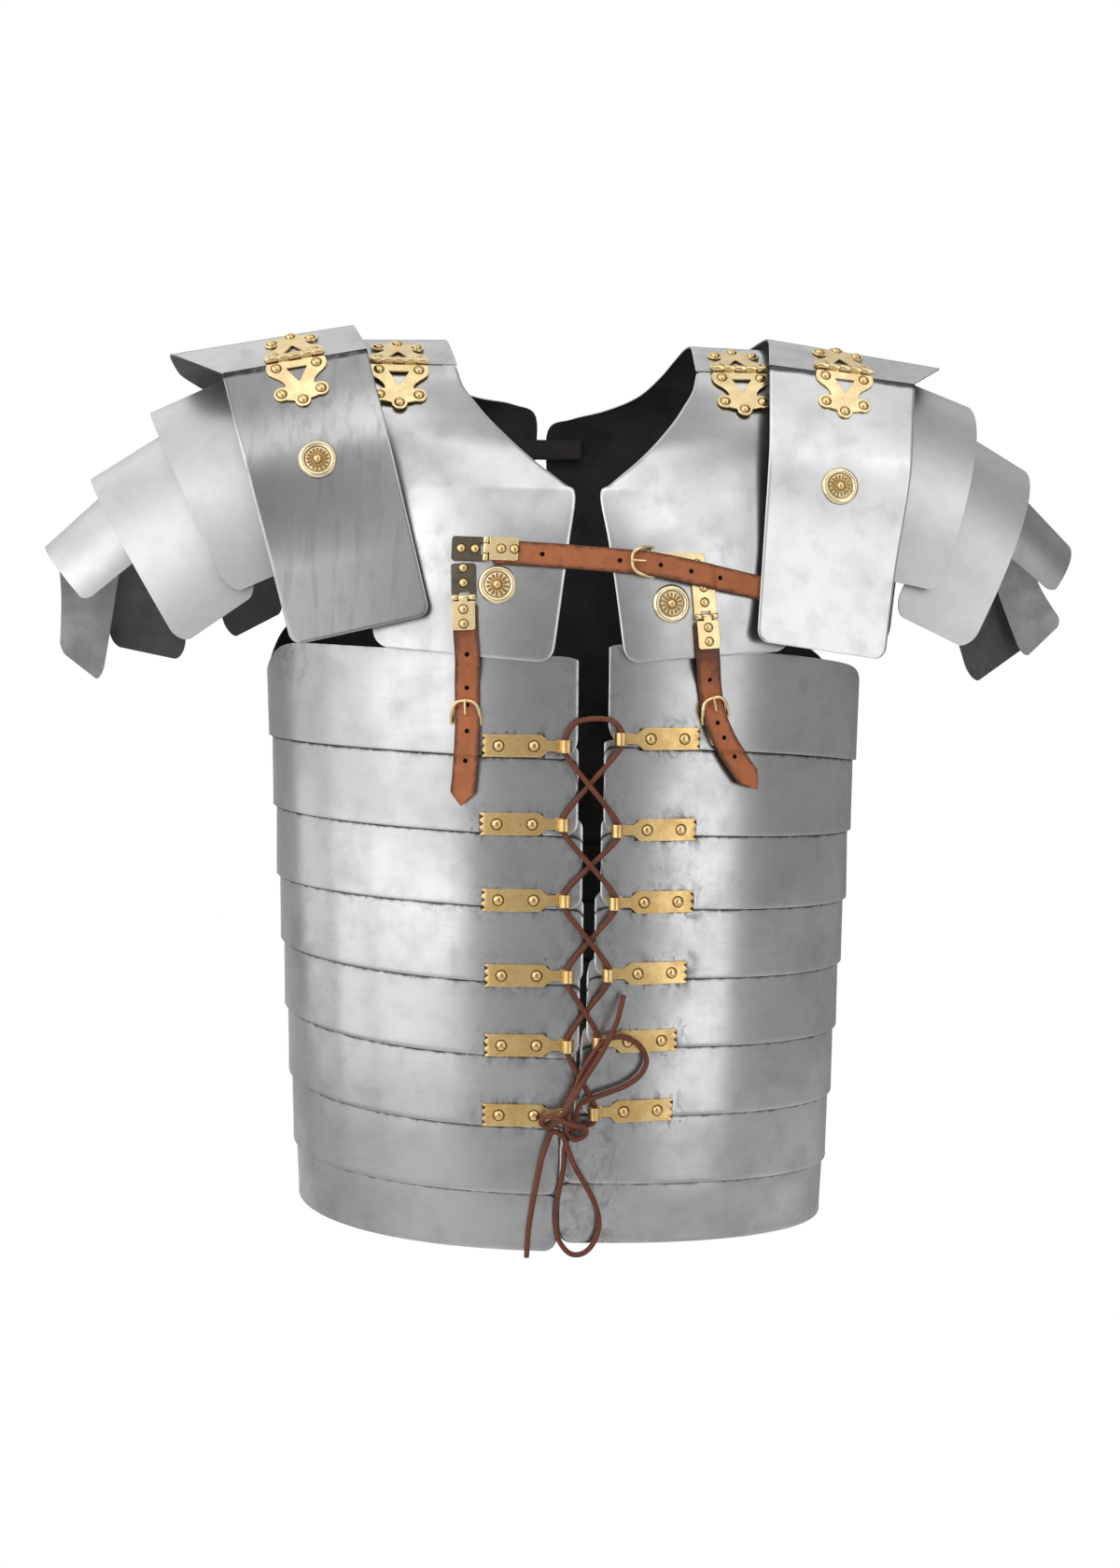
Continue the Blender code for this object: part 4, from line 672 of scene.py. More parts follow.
# ---------------------------------------------------------------- lace
LACE_STAND = GAP + BRASS / 2 + CURL   # the lace's middle inside a curled end
PASS = 0.0052             # how far above and below a curled end it runs straight
UNDER, OVER = 0.0030, 0.0072          # stand-off of the two strands where they cross
LACE_COLUMNS = ("x", "z", "stand")
TAIL_UP = (               # free end over the upper right, from its tip to the knot
    (0.0251, -0.4242, 0.0060), (0.0231, -0.4305, 0.0085), (0.0206, -0.4381, 0.0118), (0.0173, -0.4447, 0.0140),
    (0.0125, -0.4538, 0.0150), (0.0076, -0.4635, 0.0152), (0.0006, -0.4741, 0.0150), (-0.0056, -0.4849, 0.0138),
    (-0.0112, -0.4945, 0.0140), (-0.0170, -0.5030, 0.0110),
)
WRAP = (                  # round the knot once
    (-0.0215, -0.5085, 0.0050), (-0.0265, -0.5045, 0.0062), (-0.0225, -0.4995, 0.0105), (-0.0148, -0.5018, 0.0148),
    (-0.0070, -0.5046, 0.0148), (0.0008, -0.5075, 0.0100), (0.0020, -0.5135, 0.0062), (-0.0045, -0.5168, 0.0048),
    (-0.0098, -0.5120, 0.0066), (-0.0106, -0.5066, 0.0108),
)
LOOP_RIGHT = (            # round the right bow loop and back to the left strand
    (-0.0108, -0.4990, 0.0110), (-0.0081, -0.4903, 0.0108), (-0.0053, -0.4819, 0.0112), (-0.0012, -0.4713, 0.0112),
    (0.0041, -0.4621, 0.0114), (0.0098, -0.4543, 0.0110), (0.0177, -0.4506, 0.0078), (0.0263, -0.4511, 0.0064),
    (0.0349, -0.4556, 0.0060), (0.0399, -0.4634, 0.0058), (0.0403, -0.4694, 0.0058), (0.0361, -0.4764, 0.0058),
    (0.0277, -0.4821, 0.0060), (0.0174, -0.4859, 0.0064), (0.0073, -0.4891, 0.0068), (-0.0016, -0.4932, 0.0064),
    (-0.0040, -0.4985, 0.0060), (-0.0046, -0.5045, 0.0052), (-0.0080, -0.5092, 0.0044),
)
LOOP_DOWN = (             # from the right strand round the lower bow loop
    (0.0020, -0.5082, 0.0040), (-0.0060, -0.5122, 0.0036), (-0.0104, -0.5212, 0.0034), (-0.0112, -0.5331, 0.0034),
    (-0.0135, -0.5462, 0.0036), (-0.0154, -0.5595, 0.0036), (-0.0159, -0.5716, 0.0036), (-0.0134, -0.5826, 0.0036),
    (-0.0073, -0.5905, 0.0038), (-0.0002, -0.5918, 0.0040), (0.0064, -0.5877, 0.0042), (0.0111, -0.5787, 0.0044),
    (0.0118, -0.5683, 0.0046), (0.0082, -0.5566, 0.0050), (0.0017, -0.5446, 0.0060), (-0.0045, -0.5335, 0.0070),
    (-0.0092, -0.5225, 0.0078), (-0.0130, -0.5135, 0.0080),
)
TAIL_DOWN = (             # free end at the lower left, from the knot to its tip
    (-0.0190, -0.5112, 0.0072), (-0.0226, -0.5198, 0.0058), (-0.0254, -0.5290, 0.0050), (-0.0273, -0.5386, 0.0046),
    (-0.0299, -0.5525, 0.0044), (-0.0315, -0.5646, 0.0042), (-0.0331, -0.5768, 0.0042), (-0.0341, -0.5930, 0.0042),
)


def lace_route():
    """Rows of x, z, stand-off and, inside a curled end, its band, from tip to tip."""
    last = len(TIES) - 1
    rows = list(TAIL_UP) + list(WRAP) + list(LOOP_RIGHT)

    def through(index, name, upward):
        tie = TIES[index]
        z = tie[name + "_z"]
        ends = [(tie[name], z - PASS, LACE_STAND, index), (tie[name], z + PASS, LACE_STAND, index)]
        return ends if upward else ends[::-1]

    def cross(index, name, stand):
        """Between band index and the next, on the strand that leaves this side."""
        upper, lower = TIES[index], TIES[index + 1]
        other = "left" if name == "right" else "right"
        return [(
            (upper[name] + lower[other]) / 2, (upper[name + "_z"] + lower[other + "_z"]) / 2, stand,
        )]

    # Up the strand that ends on the right at the bottom.
    names = ["right", "left"]
    for step, index in enumerate(range(last, -1, -1)):
        name = names[step % 2]
        rows += through(index, name, True)
        if index:
            rows += cross(index - 1, names[(step + 1) % 2], UNDER if (index % 2) else OVER)
    # Over the top and down the other strand.
    top = TIES[0]
    middle = (top["right"] + top["left"]) / 2
    rows += [
        (mix(top["left"], middle, 0.35), top["left_z"] + 0.0115, 0.0040), (middle, top["left_z"] + 0.0128, 0.0040),
        (mix(top["right"], middle, 0.35), top["left_z"] + 0.0100, 0.0040),
    ]
    names = ["right", "left"]
    for step, index in enumerate(range(0, last + 1)):
        name = names[step % 2]
        rows += through(index, name, False)
        if index < last:
            rows += cross(index, name, OVER if ((index + 1) % 2) else UNDER)
    rows += list(LOOP_DOWN) + list(TAIL_DOWN)
    return rows


def lace_point(x, z, stand, index=None):
    return Vector((x, torso_front(x, max(z, HOOPS[-1]["bottom"]), index) - stand, z))


# ---------------------------------------------------------------- view
scene = bpy.context.scene
PITCH, ROLL, SWING = math.radians(2.05), math.radians(0.5), math.radians(7.0)
ahead = Vector((math.sin(SWING) * math.cos(PITCH), math.cos(SWING) * math.cos(PITCH), -math.sin(PITCH)))
right = Vector((math.cos(SWING), -math.sin(SWING), 0.0))
up = right.cross(ahead)
right, up = right * math.cos(ROLL) + up * math.sin(ROLL), up * math.cos(ROLL) - right * math.sin(ROLL)
camera_data = bpy.data.cameras.new("camera")
camera_data.sensor_width = 36.0
camera_data.lens = 44.83
camera_data.clip_start = 0.02
camera_data.shift_y = -0.0446
camera = bpy.data.objects.new("camera", camera_data)
scene.collection.objects.link(camera)
look = Matrix.Identity(4)
for row in range(3):
    look[row][0], look[row][1], look[row][2] = right[row], up[row], -ahead[row]
look.translation = Vector((-0.1657, -1.350, -0.203))
camera.matrix_world = look
scene.camera = camera


# ---------------------------------------------------------------- pieces
BODIES = frame["record"]["behaviour"]["bodies"]


def body_of(node):
    return next(body for body, nodes in BODIES.items() if node in nodes)


def settle(made, node, slot, *materials):
    """Put a piece in the scene in place of its CAD node."""
    if made.name not in scene.collection.objects:
        scene.collection.objects.link(made)
    for finish in materials:
        made.data.materials.append(finish)
    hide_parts(node)
    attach(made, body_of(node))
    return made


# ---------------------------------------------------------------- materials
class Finish:
    """A procedural material on the piece's own coordinates, in metres."""

    def __init__(self, name, metallic):
        self.material = bpy.data.materials.new(name)
        self.material.use_nodes = True
        self.tree = self.material.node_tree
        self.shader = self.tree.nodes["Principled BSDF"]
        self.shader.inputs["Metallic"].default_value = metallic
        self.coords = self.tree.nodes.new("ShaderNodeTexCoord").outputs["Object"]

    def put(self, value, socket):
        if hasattr(value, "is_output"):
            self.tree.links.new(value, socket)
        else:
            socket.default_value = value

    def stretched(self, scale, turn=(0.0, 0.0, 0.0)):
        node = self.tree.nodes.new("ShaderNodeMapping")
        self.tree.links.new(self.coords, node.inputs["Vector"])
        node.inputs["Scale"].default_value = scale
        node.inputs["Rotation"].default_value = turn
        return node.outputs["Vector"]

    def noise(self, scale, detail=3.0, roughness=0.5, along=None, distortion=0.0):
        node = self.tree.nodes.new("ShaderNodeTexNoise")
        self.tree.links.new(along or self.coords, node.inputs["Vector"])
        node.inputs["Scale"].default_value = scale
        node.inputs["Detail"].default_value = detail
        node.inputs["Roughness"].default_value = roughness
        node.inputs["Distortion"].default_value = distortion
        return node.outputs["Fac"]

    def attribute(self, name):
        node = self.tree.nodes.new("ShaderNodeAttribute")
        node.attribute_name = name
        return node.outputs["Fac"]

    def spread(self, value, low, high, to_low=0.0, to_high=1.0):
        node = self.tree.nodes.new("ShaderNodeMapRange")
        node.interpolation_type = "SMOOTHSTEP"
        self.put(value, node.inputs["Value"])
        for name, number in (("From Min", low), ("From Max", high), ("To Min", to_low), ("To Max", to_high)):
            node.inputs[name].default_value = number
        return node.outputs["Result"]

    def math(self, operation, a, b):
        node = self.tree.nodes.new("ShaderNodeMath")
        node.operation = operation
        node.use_clamp = False
        self.put(a, node.inputs[0])
        self.put(b, node.inputs[1])
        return node.outputs[0]

    def blend(self, factor, a, b):
        node = self.tree.nodes.new("ShaderNodeMix")
        node.data_type = "RGBA"
        self.put(factor, node.inputs["Factor"])
        for value, socket in ((a, node.inputs[6]), (b, node.inputs[7])):
            self.put(value if hasattr(value, "is_output") else (*value, 1.0), socket)
        return node.outputs[2]

    def bump(self, height, distance, strength=1.0, under=None):
        node = self.tree.nodes.new("ShaderNodeBump")
        node.inputs["Strength"].default_value = strength
        node.inputs["Distance"].default_value = distance
        self.put(height, node.inputs["Height"])
        if under:
            self.tree.links.new(under, node.inputs["Normal"])
        return node.outputs["Normal"]

    def finish(self, colour, roughness, normal=None):
        self.put(colour, self.shader.inputs["Base Color"])
        self.put(roughness, self.shader.inputs["Roughness"])
        if normal:
            self.tree.links.new(normal, self.shader.inputs["Normal"])
        return self.material


def steel(name, grain, tone=(0.66, 0.66, 0.67), rough=0.30, mottle=1.0, soil=True, seam=False, streak=None, fall=None):
    """Satin plate steel: grain is the stretch of its faint polishing lines."""
    f = Finish(name, 1.0)
    cloud = f.noise(9.0, 3.0, 0.5)
    smudge = f.noise(26.0, 4.0, 0.55, distortion=0.15)
    patch = f.noise(64.0, 3.0, 0.5, distortion=0.15)
    brush = f.noise(1.0, 3.0, 0.6, along=f.stretched(grain))
    dull = tuple(c * (1 - 0.12 * mottle) for c in tone)
    light = tuple(min(1.0, c * 1.05) for c in tone)
    colour = f.blend(f.spread(cloud, 0.34, 0.66), dull, light)
    colour = f.blend(f.spread(smudge, 0.44, 0.76, 0.0, 0.34 * mottle), colour, tuple(c * 0.50 for c in tone))
    colour = f.blend(f.spread(patch, 0.46, 0.78, 0.0, 0.20 * mottle), colour, tuple(c * 0.50 for c in tone))
    colour = f.blend(f.spread(brush, 0.30, 0.72, 0.0, 0.10), colour, tuple(c * 0.62 for c in tone))
    rough_value = f.math("ADD", f.spread(cloud, 0.3, 0.7, rough + 0.03, rough - 0.02), f.spread(patch, 0.36, 0.72, -0.004, 0.014))
    rough_value = f.math("ADD", rough_value, f.spread(smudge, 0.40, 0.76, 0.0, 0.03))
    if fall:
        # Painted light down the leaf: a shade above the bend, a painted highlight along the bend, and further shades
        # below it and towards the foot.
        top, bend_highlight, under, foot = fall
        height = f.math("ADD", f.attribute("edge"), f.spread(cloud, 0.3, 0.7, -0.02, 0.02))
        colour = f.blend(f.spread(height, 0.10, 0.26), tuple(c * top for c in (1, 1, 1.01)), (bend_highlight, bend_highlight, bend_highlight))
        colour = f.blend(f.spread(height, 0.26, 0.34), colour, (under, under, under))
        colour = f.blend(f.spread(height, 0.36, 0.80), colour, (foot, foot, foot))
        colour = f.blend(f.spread(smudge, 0.44, 0.76, 0.0, 0.30 * mottle), colour, (under * 0.5, under * 0.5, under * 0.5))
        colour = f.blend(f.spread(patch, 0.46, 0.78, 0.0, 0.25), colour, (under * 0.45, under * 0.45, under * 0.45))
        # A painted shadow along the leaf's upper edge, under the top leaf.
        upper_edge_shadow = f.math("ADD", f.attribute("edge"), f.spread(patch, 0.3, 0.7, -0.003, 0.003))
        colour = f.blend(f.spread(upper_edge_shadow, 0.003, 0.016, 0.92, 0.0), colour, (0.03, 0.03, 0.03))
    if streak:
        long = f.noise(1.0, 4.0, 0.6, along=f.stretched(streak), distortion=0.3)
        colour = f.blend(f.spread(long, 0.46, 0.72, 0.0, 0.50), colour, tuple(c * 0.40 for c in tone))
        rough_value = f.math("ADD", rough_value, f.spread(long, 0.40, 0.74, -0.01, 0.05))
    # The soil value paints real smudges and specks, and on the torso bands also painted shadow round the lace loops and
    # under the band above.
    if soil:
        speck = f.noise(300.0, 4.0, 0.62, distortion=0.5)
        smear = f.noise(120.0, 5.0, 0.68, along=f.stretched((1.0, 1.0, 0.62)), distortion=0.7)
        amount = f.attribute("soil")
        mask = f.math("MULTIPLY", f.spread(amount, 0.05, 0.95), f.spread(smear, 0.42, 0.70, 0.0, 0.85))
        dots = f.math("MULTIPLY", f.spread(speck, 0.60, 0.70, 0.0, 0.8), f.spread(amount, 0.12, 0.7, 0.0, 1.0))
        solid = f.spread(f.math("ADD", amount, f.spread(speck, 0.3, 0.7, -0.14, 0.14)), 0.96, 1.30)
        mask = f.math("MAXIMUM", f.math("MAXIMUM", mask, dots), solid)
        colour = f.blend(mask, colour, (0.070, 0.067, 0.066))
        rough_value = f.math("ADD", rough_value, f.math("MULTIPLY", mask, 0.22))
    # Painted shadow with some grime: a dark line under the lower edge of the band above, fading downwards, and the
    # hidden overlap kept dark.
    if seam:
        jitter = f.noise(170.0, 4.0, 0.6)
        line = f.spread(f.math("ADD", f.attribute("edge"), f.spread(jitter, 0.3, 0.7, -0.16, 0.16)), 0.22, 0.86, 0.0, 0.93)
        colour = f.blend(line, colour, (0.030, 0.028, 0.027))
        rough_value = f.math("ADD", rough_value, f.math("MULTIPLY", line, 0.25))
    wave = f.noise(8.0, 1.0, 0.4)
    dent = f.noise(26.0, 1.0, 0.4)
    normal = f.bump(wave, 0.0022, 0.20)
    normal = f.bump(dent, 0.00025, 0.15, under=normal)
    return f.finish(colour, rough_value, normal)


def shaded_inside(name, tone):
    """The inner face, painted dark as the shade that falls inside the plates."""
    f = Finish(name, 0.55)
    cloud = f.noise(22.0, 5.0, 0.6)
    fine = f.noise(260.0, 3.0, 0.6)
    colour = f.blend(f.spread(cloud, 0.35, 0.68), tone, tuple(c * 1.8 for c in tone))
    rough = f.math("ADD", f.spread(cloud, 0.3, 0.7, 0.52, 0.66), f.spread(fine, 0.3, 0.7, -0.04, 0.06))
    return f.finish(colour, rough, f.bump(fine, 0.0001, 0.5))


def brass(name, tone=(0.90, 0.70, 0.38), rough=0.20, wear=1.0):
    f = Finish(name, 1.0)
    cloud = f.noise(85.0, 4.0, 0.6, distortion=0.4)
    brush = f.noise(1.0, 3.0, 0.6, along=f.stretched((300.0, 300.0, 1500.0)))
    pit = f.noise(420.0, 3.0, 0.6)
    pale = tuple(min(1.0, c * 1.06 + 0.04) for c in tone)
    brown = (tone[0] * (1 - 0.22 * wear), tone[1] * (1 - 0.30 * wear), tone[2] * (1 - 0.42 * wear))
    colour = f.blend(f.spread(cloud, 0.36, 0.66), brown, tone)
    colour = f.blend(f.spread(brush, 0.40, 0.75, 0.0, 0.30), colour, pale)
    colour = f.blend(f.spread(pit, 0.64, 0.76, 0.0, 0.45 * wear), colour, (0.20, 0.12, 0.05))
    value = f.math("ADD", f.spread(cloud, 0.3, 0.7, rough + 0.08, rough - 0.03), f.spread(brush, 0.3, 0.7, -0.02, 0.04))
    normal = f.bump(f.noise(60.0, 1.0, 0.4), 0.0004, 0.18)
    normal = f.bump(pit, 0.00004, 0.30, under=normal)
    return f.finish(colour, value, normal)


def leather(name, tone, dark, rough=0.50, edge=True):
    f = Finish(name, 0.0)
    cloud = f.noise(58.0, 4.0, 0.6, distortion=0.4)
    mottle = f.noise(210.0, 4.0, 0.6)
    grain_node = f.tree.nodes.new("ShaderNodeTexVoronoi")
    f.tree.links.new(f.coords, grain_node.inputs["Vector"])
    grain_node.inputs["Scale"].default_value = 1150.0
    grain_node.feature = "DISTANCE_TO_EDGE"
    pore = f.spread(grain_node.outputs["Distance"], 0.0, 0.16)
    streak = f.noise(1.0, 3.0, 0.6, along=f.stretched((520.0, 520.0, 60.0)))
    colour = f.blend(f.spread(cloud, 0.34, 0.66), tuple(c * 0.78 for c in tone), tone)
    colour = f.blend(f.spread(mottle, 0.45, 0.72, 0.0, 0.35), colour, tuple(min(1.0, c * 1.22) for c in tone))
    colour = f.blend(f.spread(streak, 0.52, 0.76, 0.0, 0.26), colour, dark)
    if edge:
        rim = f.math("ADD", f.attribute("edge"), f.spread(mottle, 0.3, 0.7, -0.10, 0.12))
        colour = f.blend(f.spread(rim, 0.62, 1.0, 0.0, 0.85), colour, dark)
        # Darker where the soil value is high: above the buckle on the upright straps, more on the wearer's left.
        darkening = f.math("ADD", f.attribute("soil"), f.spread(cloud, 0.3, 0.7, -0.32, 0.42))
        colour = f.blend(f.spread(darkening, 0.15, 1.05, 0.0, 0.80), colour, dark)
    value = f.math("ADD", f.spread(mottle, 0.3, 0.7, rough - 0.06, rough + 0.08), f.spread(cloud, 0.35, 0.65, 0.05, -0.04))
    f.shader.inputs["Specular IOR Level"].default_value = 0.45
    normal = f.bump(f.noise(90.0, 3.0, 0.5), 0.0006, 0.35)
    normal = f.bump(pore, 0.00010, 0.45, under=normal)
    return f.finish(colour, value, normal)


HOOP_STEEL = steel("steel_hoops", (34.0, 34.0, 420.0), tone=(0.64, 0.64, 0.65), rough=0.25, mottle=1.25, seam=True)
PLATE_STEEL = steel("steel_plates", (300.0, 300.0, 40.0), tone=(0.70, 0.70, 0.71), rough=0.27, mottle=1.6)
# The leaves as lit and shaded copies of one steel: the wearer's right one darker, with deeper painted light bands.
LEAF_STEEL = {
    "right": steel("steel_leaf_right", (520.0, 300.0, 16.0), tone=(0.60, 0.60, 0.605), rough=0.24, mottle=0.7, streak=(150.0, 100.0, 14.0), fall=(0.29, 0.51, 0.50, 0.42)),
    "left": steel("steel_leaf_left", (520.0, 300.0, 16.0), tone=(0.69, 0.69, 0.70), rough=0.26, mottle=0.9, fall=(0.62, 0.70, 0.70, 0.72)),
}
BAND_STEEL = steel("steel_bands", (160.0, 160.0, 160.0), tone=(0.69, 0.69, 0.70), rough=0.42, mottle=0.45)
# A darker copy of the band steel: painted shade for the wearer's left outermost band, which reflects the dark
# surroundings.
BAND_SHADED = steel("steel_band_dull", (160.0, 160.0, 160.0), tone=(0.40, 0.40, 0.40), rough=0.46, mottle=0.8)
# Inner faces in painted shade: near black inside the torso and collar, lighter on the arm bands, lightest on the
# outermost band, which catches more light.
HOOP_INSIDE = shaded_inside("steel_hoops_inside", (0.030, 0.029, 0.028))
PLATE_INSIDE = shaded_inside("steel_plates_inside", (0.035, 0.034, 0.034))
BAND_INSIDE = shaded_inside("steel_bands_inside", (0.075, 0.074, 0.073))
BAND_INSIDE_LIT = shaded_inside("steel_bands_inside_pale", (0.26, 0.26, 0.26))
BRASS_FINISH = brass("brass_fittings", (0.93, 0.75, 0.43), wear=0.55)
BRASS_TIE = brass("brass_ties", (0.95, 0.68, 0.31), 0.28, wear=0.95)
BRASS_RIVET = brass("brass_rivets", (0.86, 0.63, 0.31), 0.13, wear=0.4)
# Painted dark reflection: near-black glossy brass for fixed fitting plates that mirror the dark surroundings.
BRASS_DARK_REFLECTION = brass("brass_dark_polish", (0.20, 0.175, 0.14), 0.10)
# Painted shadow for the ring round each rivet's foot.
BRASS_RIVET_SHADOW = brass("brass_grime", (0.090, 0.055, 0.024), 0.45)
LEATHER_STRAP = leather("leather_straps", (0.49, 0.150, 0.050), (0.075, 0.024, 0.011))
LEATHER_CUT = leather("leather_cut_edges", (0.13, 0.042, 0.019), (0.04, 0.014, 0.008), 0.65, edge=False)
# Painted shade: the punched holes' walls set near black.
LEATHER_HOLE_SHADE = leather("leather_holes", (0.016, 0.008, 0.005), (0.006, 0.003, 0.002), 0.80, edge=False)
LEATHER_LACE = leather("leather_lace", (0.165, 0.043, 0.019), (0.035, 0.012, 0.008), 0.50, edge=False)
LEATHER_DARK = leather("leather_back_strap", (0.028, 0.022, 0.018), (0.012, 0.010, 0.008), 0.60)


# ---------------------------------------------------------------- lace
def smooth_route(points, parts=7):
    """The route as closely spaced points on one smooth curve."""
    columns = [[p[k] for p in points] for k in range(3)]
    count = (len(points) - 1) * parts
    return [Vector([catmull(c, i / parts) for c in columns]) for i in range(count + 1)]


route = smooth_route([lace_point(*row) for row in lace_route()])
lace_curve = bpy.data.curves.new("lace_thong", "CURVE")
lace_curve.dimensions = "3D"
lace_curve.bevel_depth = LACE_DIAMETER / 2
lace_curve.bevel_resolution = 4
lace_curve.use_fill_caps = True
spline = lace_curve.splines.new("POLY")
spline.points.add(len(route) - 1)
for knot, co in zip(spline.points, route):
    knot.co = (*co, 1.0)
lace_piece = bpy.data.objects.new("lace_thong", lace_curve)
settle(lace_piece, "lace", "lace", LEATHER_LACE)
LACE_LENGTH = sum((q - p).length for p, q in zip(route, route[1:]))
tuple(route[0])


# ---------------------------------------------------------------- plates
def positions(count, ends=(0.0, 0.0), fine=8):
    """Positions from 0 to 1, closer together inside the rounded ends."""
    first, last = ends
    made = [mix(first, 1 - last, i / count) for i in range(count + 1)]
    if first:
        made = [first * (1 - math.cos(math.pi / 2 * k / fine)) for k in range(fine)] + made
    if last:
        made += [1 - last * (1 - math.cos(math.pi / 2 * k / fine)) for k in range(fine - 1, -1, -1)]
    return made


def plate(node, surface, us, vs, finish, inside, slot="steel", thickness=SHEET, outward=None,
          v_limits=None, offset=-1.0, bevel=0.00034, soil=None, name=None, edge=None, segments=2):
    """A fine grid on a surface, thickened inwards, with broken edges."""
    bm = bmesh.new()
    layer = bm.verts.layers.float.new("soil")
    rim = bm.verts.layers.float.new("edge")
    grid = []
    for u in us:
        low, high = v_limits(u) if v_limits else (0.0, 1.0)
        column = []
        for v in vs:
            p = surface(u, mix(low, high, v))
            vert = bm.verts.new(p)
            vert[layer] = soil(p) if soil else 0.0
            vert[rim] = edge(u, v) if edge else 0.0
            column.append(vert)
        grid.append(column)
    for a, b in zip(grid, grid[1:]):
        for k in range(len(vs) - 1):
            bm.faces.new((a[k], b[k], b[k + 1], a[k + 1]))
    bm.normal_update()
    if sum(f.normal.dot(outward(f.calc_center_median())) * f.calc_area() for f in bm.faces) < 0:
        bmesh.ops.reverse_faces(bm, faces=bm.faces[:])
    mesh = bpy.data.meshes.new(name or node + "_plate")
    bm.to_mesh(mesh)
    bm.free()
    mesh.shade_smooth()
    made = bpy.data.objects.new(name or node + "_plate", mesh)
    settle(made, node, slot, finish, inside)
    shell = made.modifiers.new("thickness", "SOLIDIFY")
    shell.thickness = thickness
    shell.offset = offset
    shell.use_even_offset = False
    shell.material_offset = 1
    broken = made.modifiers.new("edges", "BEVEL")
    broken.width = bevel
    broken.segments = segments
    broken.limit_method = "ANGLE"
    broken.angle_limit = math.radians(50)
    broken.harden_normals = False
    even = made.modifiers.new("normals", "WEIGHTED_NORMAL")
    even.keep_sharp = False
    even.weight = 80
    return made


def rolled(across, down, radius):
    """How far a plate's burnished edge is turned back, this far from its sides."""
    near = min(across, down)
    if across < radius and down < radius:
        near = radius - math.hypot(radius - across, radius - down)
    return 0.00055 * max(0.0, 1 - max(0.0, near) / 0.0020) ** 2


def tie_shadow_and_soil(p):
    """A painted contact shadow close round each lace loop, set a little below it, and smudges of polish beyond it."""
    worst = 0.0
    if p.y < 0:
        for tie in TIES:
            for name, sign in SIDES:
                a = (p.x - tie[name]) * sign
                da = max(0.0, -0.001 - a, a - TIE_LENGTH)
                width = TIE_WIDTH if a > 0.012 else 0.007
                dz = max(0.0, abs(p.z - tie[name + "_z"] + 0.0004) - width / 2)
                d = math.hypot(da, dz)
                worst = max(worst, 0.58 * math.exp(-(d / 0.0100) ** 2), 1.25 * math.exp(-(d / 0.0011) ** 2))
        near = abs(p.x - TORSO_MIDDLE)
        worst = max(worst, 0.55 * math.exp(-((near - 0.012) / 0.016) ** 2))
    return worst


def hoop_soil_and_shade(index):
    def soil(p):
        level = p.z + TORSO_SLANT * (p.x - TORSO_MIDDLE) + (front_drop(index, p.x) if p.y < 0 else 0.0)
        hoop = HOOPS[index]
        top = HOOP_TOP if index == 0 else HOOPS[index - 1]["bottom"]
        value = tie_shadow_and_soil(p)
        # Painted shadow with some grime just under the edge above.
        value = max(value, 0.40 * math.exp(-abs(level - top) / 0.0050))
        value = max(value, 0.30 * math.exp(-abs(level - hoop["bottom"]) / 0.0028))
        if index == 0:
            value = max(value, 0.62 * math.exp(-((p.x + 0.185) ** 2 + (level - top) ** 2 * 0.25) / 0.018 ** 2))
        if p.y < 0 and 0.02 < p.x < 0.12:
            value = max(value, 0.36 * math.exp(-((p.x - 0.060) ** 2 + (p.z + 0.36) ** 2) / 0.050 ** 2))
        return value

    return soil


# Torso bands.
FREE = 0.036
first_turn = turn_at(3, FREE)
last_turn = 2 * math.pi - first_turn
fine_line = [torso_point(3, mix(first_turn, last_turn, k / 1200), 0.6) for k in range(1201)]
run = [0.0]
for p, q in zip(fine_line, fine_line[1:]):
    run.append(run[-1] + (q - p).length)
shared_turns = []
COLUMNS = 200
at = 0
for c in range(COLUMNS + 1):
    target = run[-1] * c / COLUMNS
    while at < 1199 and run[at + 1] < target:
        at += 1
    t = (target - run[at]) / (run[at + 1] - run[at])
    shared_turns.append(mix(first_turn, last_turn, (at + t) / 1200))

# Columns stand closer together across the front, where the lace loops are.
front_turns = []
for a, b in zip(shared_turns, shared_turns[1:]):
    x, y, _ = torso_point(3, (a + b) / 2, 0.5)
    parts_here = 4 if y < 0 and abs(x - TORSO_MIDDLE) < 0.085 else 1
    front_turns += [mix(a, b, k / parts_here) for k in range(parts_here)]
front_turns.append(shared_turns[-1])
SEAM_AT = 0.22
HOOP_ROWS = [0.0, 0.11, 0.20, SEAM_AT, 0.229, 0.238, 0.250, 0.266, 0.29]
HOOP_ROWS += [mix(0.29, 0.985, k / 21) for k in range(1, 22)] + [1.0]


def hoop_surface(index):
    """The band with its rows gathered where the band above ends."""
    above, here = HOOPS[index - 1] if index else None, HOOPS[index]

    def point(turn, v):
        share = 0.05
        if above:
            top = torso_top(index, turn)
            x = torso_point(index, turn, 0.5).x
            shift = front_drop(index, x) - front_drop(index - 1, x) if math.cos(turn) > 0 else 0.0
            share = (top - above["bottom"] - shift) / (top - here["bottom"])
            share = min(0.6, max(0.02, share))
        v = v / SEAM_AT * share if v < SEAM_AT else mix(share, 1.0, (v - SEAM_AT) / (1 - SEAM_AT))
        return torso_point(index, turn, v)

    return point


# Painted shadow and grime under the band above: full at the seam, fading over about 1.6 mm below it, and dark up behind
# the overlap.
def seam_shadow_and_grime(turn, v):
    if v < SEAM_AT:
        return math.exp(-(SEAM_AT - v) / SEAM_AT * 0.010 / 0.0012)
    below = max(0.0, (v - SEAM_AT) / (1 - SEAM_AT) * 0.045 - 0.0003)
    return math.exp(-below / 0.0016)


